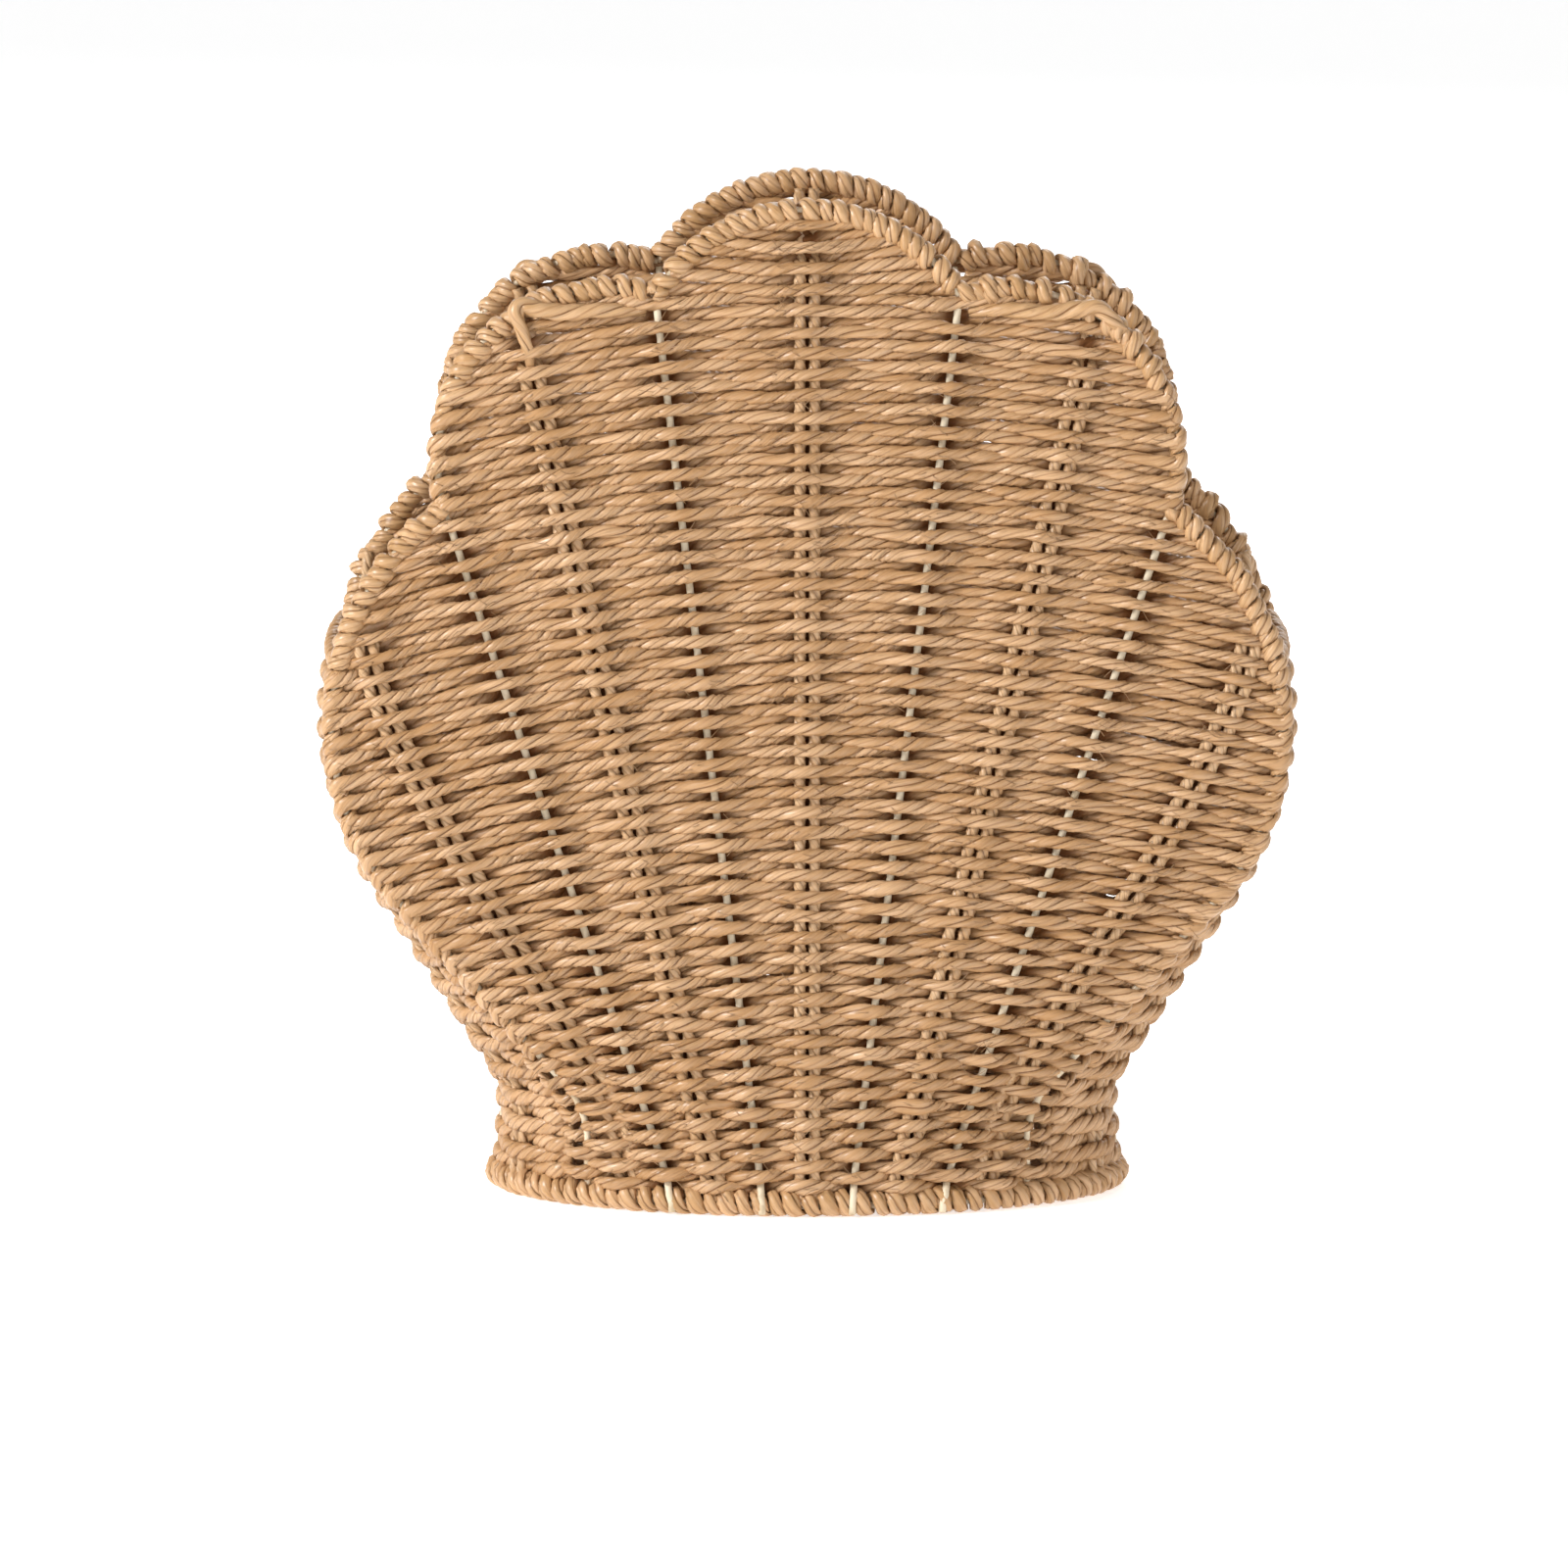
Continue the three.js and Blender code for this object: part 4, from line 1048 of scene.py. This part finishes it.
def gusset_row(sideways, number):
    """One row from ridge to ridge. It swings by a cosine of its place across, over and under the stake and
    warps, less in the middle, and goes inwards at its ends."""
    z0 = GUSSET_FIRST_Z + GUSSET_PITCH * number
    across = np.linspace(-1, 1, GUSSET_SCAN_POINTS)
    s = lengths_along(gusset_point(sideways, across, np.full(across.shape, z0)))
    end = GUSSET_LOW_END if z0 < LOOPS_FROM_Z else GUSSET_END
    even = np.linspace(end, s[-1] - end, int((s[-1] - 2 * end) / ROPE_STEP) + 1)
    across = np.interp(even, s, across)
    z = z0 + wander(across, GUSSET_WANDER, GUSSET_WANDER_REACH)
    outward = gusset_outward(sideways, across, z)
    tucked = smooth(np.minimum(even - end, s[-1] - end - even) / GUSSET_TUCK_FADE)
    outer = smooth(np.abs(across) / GUSSET_MIDDLE)
    reach = GUSSET_MIDDLE_SWING + (GUSSET_SWING - GUSSET_MIDDLE_SWING) * outer
    swing = reach * np.cos(math.pi * (2 * across + number)) * tucked - GUSSET_TUCK * (1 - tucked)
    fat = 1 + wander(across, GUSSET_UNEVEN, GUSSET_UNEVEN_REACH)
    path = gusset_point(sideways, across, z) + outward * swing[:, None]
    lay = GUSSET_LAY * chance.uniform(*GUSSET_LAY_RANGE)
    turn = chance.uniform(0, math.pi)
    return carried(path, outward, rope_profile(), GUSSET_ROPE_HALF * fat, ROPE_DEEP * fat, lay, turn)


def gusset_border(sideways, phase):
    """One of the two ropes that are twined along the top edge: a helix round the edge's line."""
    scan = np.linspace(-1, 1, BORDER_SCAN_POINTS)
    s = lengths_along(gusset_point(sideways, scan, np.full(scan.shape, GUSSET_TOP_Z)))
    even = np.linspace(GUSSET_END, s[-1] - GUSSET_END, BORDER_POINTS)
    across = np.interp(even, s, scan)
    z = np.full(across.shape, GUSSET_TOP_Z)
    outward = gusset_outward(sideways, across, z)
    turn = (FULL_TURN * even / BORDER_PITCH + phase)[:, None]
    radial = outward * np.cos(turn) + np.array([0.0, 0.0, 1.0]) * np.sin(turn)
    path = gusset_point(sideways, across, z) + radial * BORDER_R
    lay = -BORDER_PITCH * BORDER_LAY
    return carried(path, radial, rope_profile(), BORDER_HIGH, BORDER_DEEP, lay, phase)


gusset_rows = int((GUSSET_TOP_Z - GUSSET_LAST_GAP - GUSSET_FIRST_Z) / GUSSET_PITCH) + 1
for side, sideways in SIDES.items():
    rows = [gusset_row(sideways, number) for number in range(gusset_rows)]
    rows += [gusset_border(sideways, phase) for phase in (0.0, math.pi)]
    build_piece(side + "_gusset_weft", rows, weft_paper, [side + "_gusset_weave"])

# Wound rims and ridges
# The rim wire is wound with the same rope, pressed flat turn against turn: thick on the crowns and the
# open parts of the rim, thinner under the row loops. A warp's thick end lies under each upper crown.
TURN_PITCH = 0.0050
TURN_HIGH = 0.0027
TURN_DEEP = 0.00165
TURN_WANDER = 0.75
TURN_WANDER_REACH = 0.05
TURN_HIGH_UNEVEN = 0.09
TURN_HIGH_REACH = 0.025
TURN_DEEP_UNEVEN = 0.13
TURN_DEEP_REACH = 0.018
THIN_HIGH = 0.0021
THIN_DEEP = 0.0009
THICK_BELOW = 0.004
THICK_FADE = 0.008
NOTCH_GAP = 0.0008
TIE_FLAT = 0.75
TIE_LAY = 0.030
TIE_TURN = 0.8
TIE_POINTS = 90
TIE_STEPS = (
    (-0.0045, -0.0200, 0.0000, 0.0018),
    (-0.0035, -0.0130, 0.0036, 0.0021),
    (-0.0015, -0.0060, 0.0054, 0.0024),
    (0.0006, 0.0000, 0.0056, 0.0030),
    (-0.0014, 0.0030, 0.0048, 0.0032),
    (-0.0070, 0.0016, 0.0046, 0.0033),
    (-0.0160, 0.0006, 0.0042, 0.0031),
    (-0.0290, 0.0014, 0.0036, 0.0028),
    (-0.0430, 0.0010, -0.0010, 0.0022),
)
TIE_FROM_SIDE = (
    (0.0110, -0.0075, 0.0000, 0.0020),
    (0.0055, -0.0020, 0.0040, 0.0026),
    (0.0000, 0.0022, 0.0052, 0.0031),
)
TIE_UNDER_CROWN = 5
# The deep tone colours the fibre streaks and is also the painted shade of the windings' grooves and creases.
WOUND_TONES = ((0.66, 0.41, 0.215, 1), (0.51, 0.292, 0.127, 1), (0.17, 0.058, 0.011, 1))
WOUND_SEED = 3.0

wound_paper = rope_material("wound_paper", WOUND_TONES, WOUND_SEED)


def crown_tie(facing, mirror):
    """The thick end of an upper lobe's warp: on the left side up over the first rows and round the rim in a
    knob, on the right side out of the side's winding, then inwards under the crown until it dips into the
    weave. A smooth curve through points given as steps from the knob: sideways, up and outwards, and the
    half height."""
    steps = np.array(TIE_STEPS if mirror < 0 else TIE_FROM_SIDE + TIE_STEPS[TIE_UNDER_CROWN:])
    share = np.linspace(0, len(steps) - 1, TIE_POINTS)
    left = np.clip(share.astype(int), 0, len(steps) - 2)
    t = (share - left)[:, None]
    padded = np.concatenate([[2 * steps[0] - steps[1]], steps, [2 * steps[-1] - steps[-2]]])
    a, b, c, d = (padded[left + n] for n in range(4))
    curve = b + 0.5 * t * (c - a + t * (2 * a - 5 * b + 4 * c - d + t * (3 * (b - c) + d - a)))
    x = mirror * (UPPER_WARP_TOP[0] + curve[:, 0])
    z = UPPER_WARP_TOP[1] + curve[:, 1]
    outward = panel_outward(facing, x, z)
    path = panel_point(facing, x, z) + outward * curve[:, 2:3]
    high = curve[:, 3]
    return carried(path, outward, rope_profile(), high, high * TIE_FLAT, TIE_LAY, TIE_TURN)


def stretch(path, start, end):
    """The part of an evenly spread path between a distance from its start and one from its end."""
    s = lengths_along(path)
    return points_at(np.linspace(start, s[-1] - end, len(path)), s, path)


def wound(path, facing, high, deep):
    """A rope wound round a rim's wire: a helix whose distance from the wire's middle is the wire's radius and
    half the pressed rope, one turn to a pitch. High and deep are the rope's halves along the path and away
    from it, as values along the path."""
    s = lengths_along(path)
    around = FULL_TURN * (WIRE_R + float(np.mean(deep)))
    even = np.linspace(0, s[-1], int(s[-1] / TURN_PITCH * around / ROPE_STEP) + 1)
    centre = points_at(even, s, path)
    tangent = unit(np.gradient(centre, axis=0))
    ahead = square_to(constant(centre, (0.0, facing, 0.0)), tangent)
    aside = np.cross(tangent, ahead)
    turn = FULL_TURN * even / TURN_PITCH + wander(even, TURN_WANDER, TURN_WANDER_REACH)
    high = np.interp(even, s, np.broadcast_to(high, s.shape))
    high = high * (1 + wander(even, TURN_HIGH_UNEVEN, TURN_HIGH_REACH))
    deep = np.interp(even, s, np.broadcast_to(deep, s.shape))
    deep = deep * (1 + wander(even, TURN_DEEP_UNEVEN, TURN_DEEP_REACH))
    radial = np.cos(turn)[:, None] * ahead + np.sin(turn)[:, None] * aside
    rope = centre + radial * (WIRE_R + deep)[:, None]
    return carried(rope, radial, rope_profile(), high, deep, ROPE_LAY, chance.uniform(0, math.pi))


def thick_above(path, z):
    """The winding's half height and half depth along a path: thin under a height and thick over it, with a
    smooth step between."""
    thick = smooth((path[:, 2] - z + THICK_BELOW) / THICK_FADE)
    return THIN_HIGH + (TURN_HIGH - THIN_HIGH) * thick, THIN_DEEP + (TURN_DEEP - THIN_DEEP) * thick


def build_winding(name, coil, node):
    """A winding as a piece of its own, in place of its node."""
    build_piece(name, [coil], wound_paper, [node])


for face, facing in FACES.items():
    ties = [crown_tie(facing, mirror) for mirror in SIDES.values()]
    build_piece(face + "_crown_ties", ties, wound_paper, [])
    middle = stretch(rim_path(facing, 1, "middle"), NOTCH_GAP, NOTCH_GAP)
    coil = wound(middle, facing, TURN_HIGH, TURN_DEEP)
    build_winding(face + "_winding_middle", coil, face + "_rim_winding_middle")
    for side, mirror in SIDES.items():
        upper = stretch(rim_path(facing, mirror, "upper"), NOTCH_GAP, NOTCH_GAP)
        coil = wound(upper, facing, *thick_above(upper, LOOPED_LOBE_Z))
        build_winding(face + "_winding_upper_" + side, coil, face + "_rim_winding_upper_" + side)
        ridge = rim_path(facing, mirror, "side")
        low = np.argmin(np.abs(ridge[:, 2] - LOOPS_FROM_Z))
        ridge = stretch(ridge[:low], NOTCH_GAP, 0.0)
        coil = wound(ridge, facing, *thick_above(ridge, GUSSET_TOP_Z))
        build_winding(face + "_winding_side_" + side, coil, face + "_ridge_wrap_" + side)

# Base
# The oval ring that the basket stands on is wound with thicker turns of the rope. Inside it the floor
# is woven in straight rows over and under four wires.
RING_POINTS = 400
RING_PITCH = 0.0057
RING_LAY = 0.026
RING_TURN_HIGH = 0.0029
RING_TURN_DEEP = 0.00135
RING_TURN_SWELL = 0.0006
RING_WANDER = 0.7
RING_WANDER_REACH = 0.06
RING_UNEVEN = 0.12
RING_UNEVEN_REACH = 0.035
RING_CLEAR = 0.0035
FLOOR_PITCH = 0.0043
FLOOR_SWING = 0.0016
FLOOR_HALF = 0.0021
FLOOR_DEEP = 0.0018
FLOOR_LAY = 0.9
FLOOR_WANDER = 0.00008
FLOOR_LAST_GAP = 0.003
FLOOR_LEAST_POINTS = 4
FLOOR_WIRE_SHORT = 0.001
FLOOR_WIRE_POINTS = 40

angle = np.linspace(0.5 * math.pi, 2.5 * math.pi, RING_POINTS)
ring = np.stack([RING_A * np.cos(angle), RING_B * np.sin(angle), np.full(angle.shape, RING_Z)], axis=1)
ring = spread(ring, WIRE_STEP)
upwards = constant(ring[:-1], (0, 0, 1))
ring_wire = carried(ring[:-1], upwards, wire_profile(), WIRE_R, WIRE_R, closed=True)
build_piece("base_ring", [ring_wire], cream_paint, ["base_ring_wire"])


def ring_winding():
    """The rope round the base ring: a helix with a whole number of turns, whose rope swells as a cosine of
    its turn, thickest on top of the ring."""
    s = lengths_along(ring)
    pitch = s[-1] / round(s[-1] / RING_PITCH)
    count = int(s[-1] / pitch * 2 * math.pi * (WIRE_R + RING_TURN_DEEP) / ROPE_STEP)
    even = np.linspace(0, s[-1], count)
    centre = points_at(even, s, ring)
    up = constant(centre, (0.0, 0.0, 1.0))
    aside = np.cross(unit(np.gradient(centre, axis=0)), up)
    turn = FULL_TURN * even / pitch + wander(even, RING_WANDER, RING_WANDER_REACH)
    radial = np.cos(turn)[:, None] * up + np.sin(turn)[:, None] * aside
    uneven = 1 + wander(even, RING_UNEVEN, RING_UNEVEN_REACH)
    deep = RING_TURN_DEEP + RING_TURN_SWELL * (1 + np.cos(turn)) * uneven
    rope = centre + radial * (WIRE_R + deep)[:, None]
    return carried(rope, radial, rope_profile(), RING_TURN_HIGH * uneven, deep, RING_LAY)


build_winding("base_ring_winding", ring_winding(), "base_ring_wrap")


def floor_row(number, y):
    """A straight row across the ring's oval, whose height swings as a cosine between the floor's wires."""
    reach = (RING_A - RING_CLEAR) * math.sqrt(1 - (y / (RING_B - RING_CLEAR)) ** 2)
    x = np.linspace(-reach, reach, max(int(2 * reach / ROPE_STEP), FLOOR_LEAST_POINTS))
    z = RING_Z + FLOOR_SWING * np.cos(math.pi * ((x - STAKE_STEP_X) / (2 * STAKE_STEP_X) + number))
    path = np.stack([x, y + wander(x, FLOOR_WANDER), z], axis=1)
    lay = ROPE_LAY * FLOOR_LAY
    return carried(path, constant(path, (0, 0, 1)), rope_profile(), FLOOR_HALF, FLOOR_DEEP, lay)


def floor_wire(place):
    """A straight wire from front to back across the ring's oval, at the foot of a stake."""
    x = place * STAKE_STEP_X
    reach = (RING_B - FLOOR_WIRE_SHORT) * math.sqrt(1 - (x / RING_A) ** 2)
    y = np.linspace(-reach, reach, FLOOR_WIRE_POINTS)
    return wire(np.stack([np.full(y.shape, x), y, np.full(y.shape, RING_Z)], axis=1), (0, 0, 1))


half_rows = int((RING_B - RING_CLEAR - FLOOR_LAST_GAP) / FLOOR_PITCH)
floor_rows = [floor_row(n, n * FLOOR_PITCH) for n in range(-half_rows, half_rows + 1)]
build_piece("floor_weft", floor_rows, weft_paper, ["floor_weave"])
floor_wires = [floor_wire(place) for place in STAKE_PLACES]
build_piece("floor_wires", floor_wires, cream_paint, numbered("floor_wire_", STAKE_PLACES))

# Floor and light of the studio
# A white floor that rises into a low wall all round, lit by one broad soft light from the upper left
# in front, weaker ones from the right and from behind, and the white room around.
SWEEP_WHITE = (0.93, 0.93, 0.93, 1.0)
SWEEP_GLOW = 0.62
SWEEP_ROUGHNESS = 0.9
SWEEP_FLAT = (0.01, 1.0, 3.0)
SWEEP_R = 8.0
SWEEP_BEND = 0.9
SWEEP_BEND_POINTS = 16
SWEEP_TOP = 1.6
SWEEP_SIDES = 96
LIGHT_AIM = (0, 0, 0.15)
ROOM_LIGHT = 0.30


def sweep():
    """A round floor that curves up into a low wall: a profile of distance and height turned about the upright
    axis, far enough out that a camera on any side stands inside it."""
    bend = np.linspace(0, math.pi / 2, SWEEP_BEND_POINTS)
    out = np.concatenate([SWEEP_FLAT, SWEEP_R + SWEEP_BEND * np.sin(bend), [SWEEP_R + SWEEP_BEND]])
    rise = np.concatenate([np.zeros(len(SWEEP_FLAT)), SWEEP_BEND * (1 - np.cos(bend)), [SWEEP_TOP]])
    turn = np.arange(SWEEP_SIDES) * 2 * math.pi / SWEEP_SIDES
    x = out[:, None] * np.cos(turn)
    y = out[:, None] * np.sin(turn)
    grid = np.stack(np.broadcast_arrays(x, y, rise[:, None]), axis=-1)
    i, j = np.meshgrid(np.arange(len(out) - 1) * SWEEP_SIDES, np.arange(SWEEP_SIDES), indexing="ij")
    after, outer = (j + 1) % SWEEP_SIDES, i + SWEEP_SIDES
    quads = np.stack([i + j, outer + j, outer + after, i + after], axis=-1)
    faces = quads.reshape(-1, 4).tolist() + [list(range(SWEEP_SIDES))]
    mesh = bpy.data.meshes.new("studio_sweep")
    mesh.from_pydata(grid.reshape(-1, 3).tolist(), [], faces)
    mesh.shade_smooth()
    material, shader = new_material("studio_white")
    shader.inputs["Base Color"].default_value = SWEEP_WHITE
    shader.inputs["Roughness"].default_value = SWEEP_ROUGHNESS
    shader.inputs["Specular IOR Level"].default_value = 0.0
    shader.inputs["Emission Color"].default_value = (1, 1, 1, 1)
    shader.inputs["Emission Strength"].default_value = SWEEP_GLOW
    mesh.materials.append(material)
    piece = bpy.data.objects.new("studio_sweep", mesh)
    bpy.context.scene.collection.objects.link(piece)


def soft_light(name, place, size, power):
    """A square lamp of a size and power, turned from its place to look at the basket."""
    lamp = bpy.data.lights.new(name, "AREA")
    lamp.size = size
    lamp.energy = power
    holder = bpy.data.objects.new(name, lamp)
    bpy.context.scene.collection.objects.link(holder)
    holder.location = place
    towards = np.array(LIGHT_AIM) - np.array(place)
    flat = math.hypot(towards[0], towards[1])
    holder.rotation_euler = (math.atan2(flat, -towards[2]), 0.0, math.atan2(-towards[0], towards[1]))


sweep()
soft_light("key_light", place=(-2.2, -1.35, 1.5), size=0.8, power=78.5)
soft_light("fill_light", place=(1.8, -1.8, 0.9), size=1.6, power=9.0)
soft_light("back_light", place=(0.6, 2.2, 2.0), size=1.8, power=41.0)

world = bpy.data.worlds.new("white_room")
world.use_nodes = True
world.node_tree.nodes["Background"].inputs["Color"].default_value = (1.0, 1.0, 1.0, 1.0)
world.node_tree.nodes["Background"].inputs["Strength"].default_value = ROOM_LIGHT
bpy.context.scene.world = world
bpy.context.scene.view_settings.view_transform = "Standard"
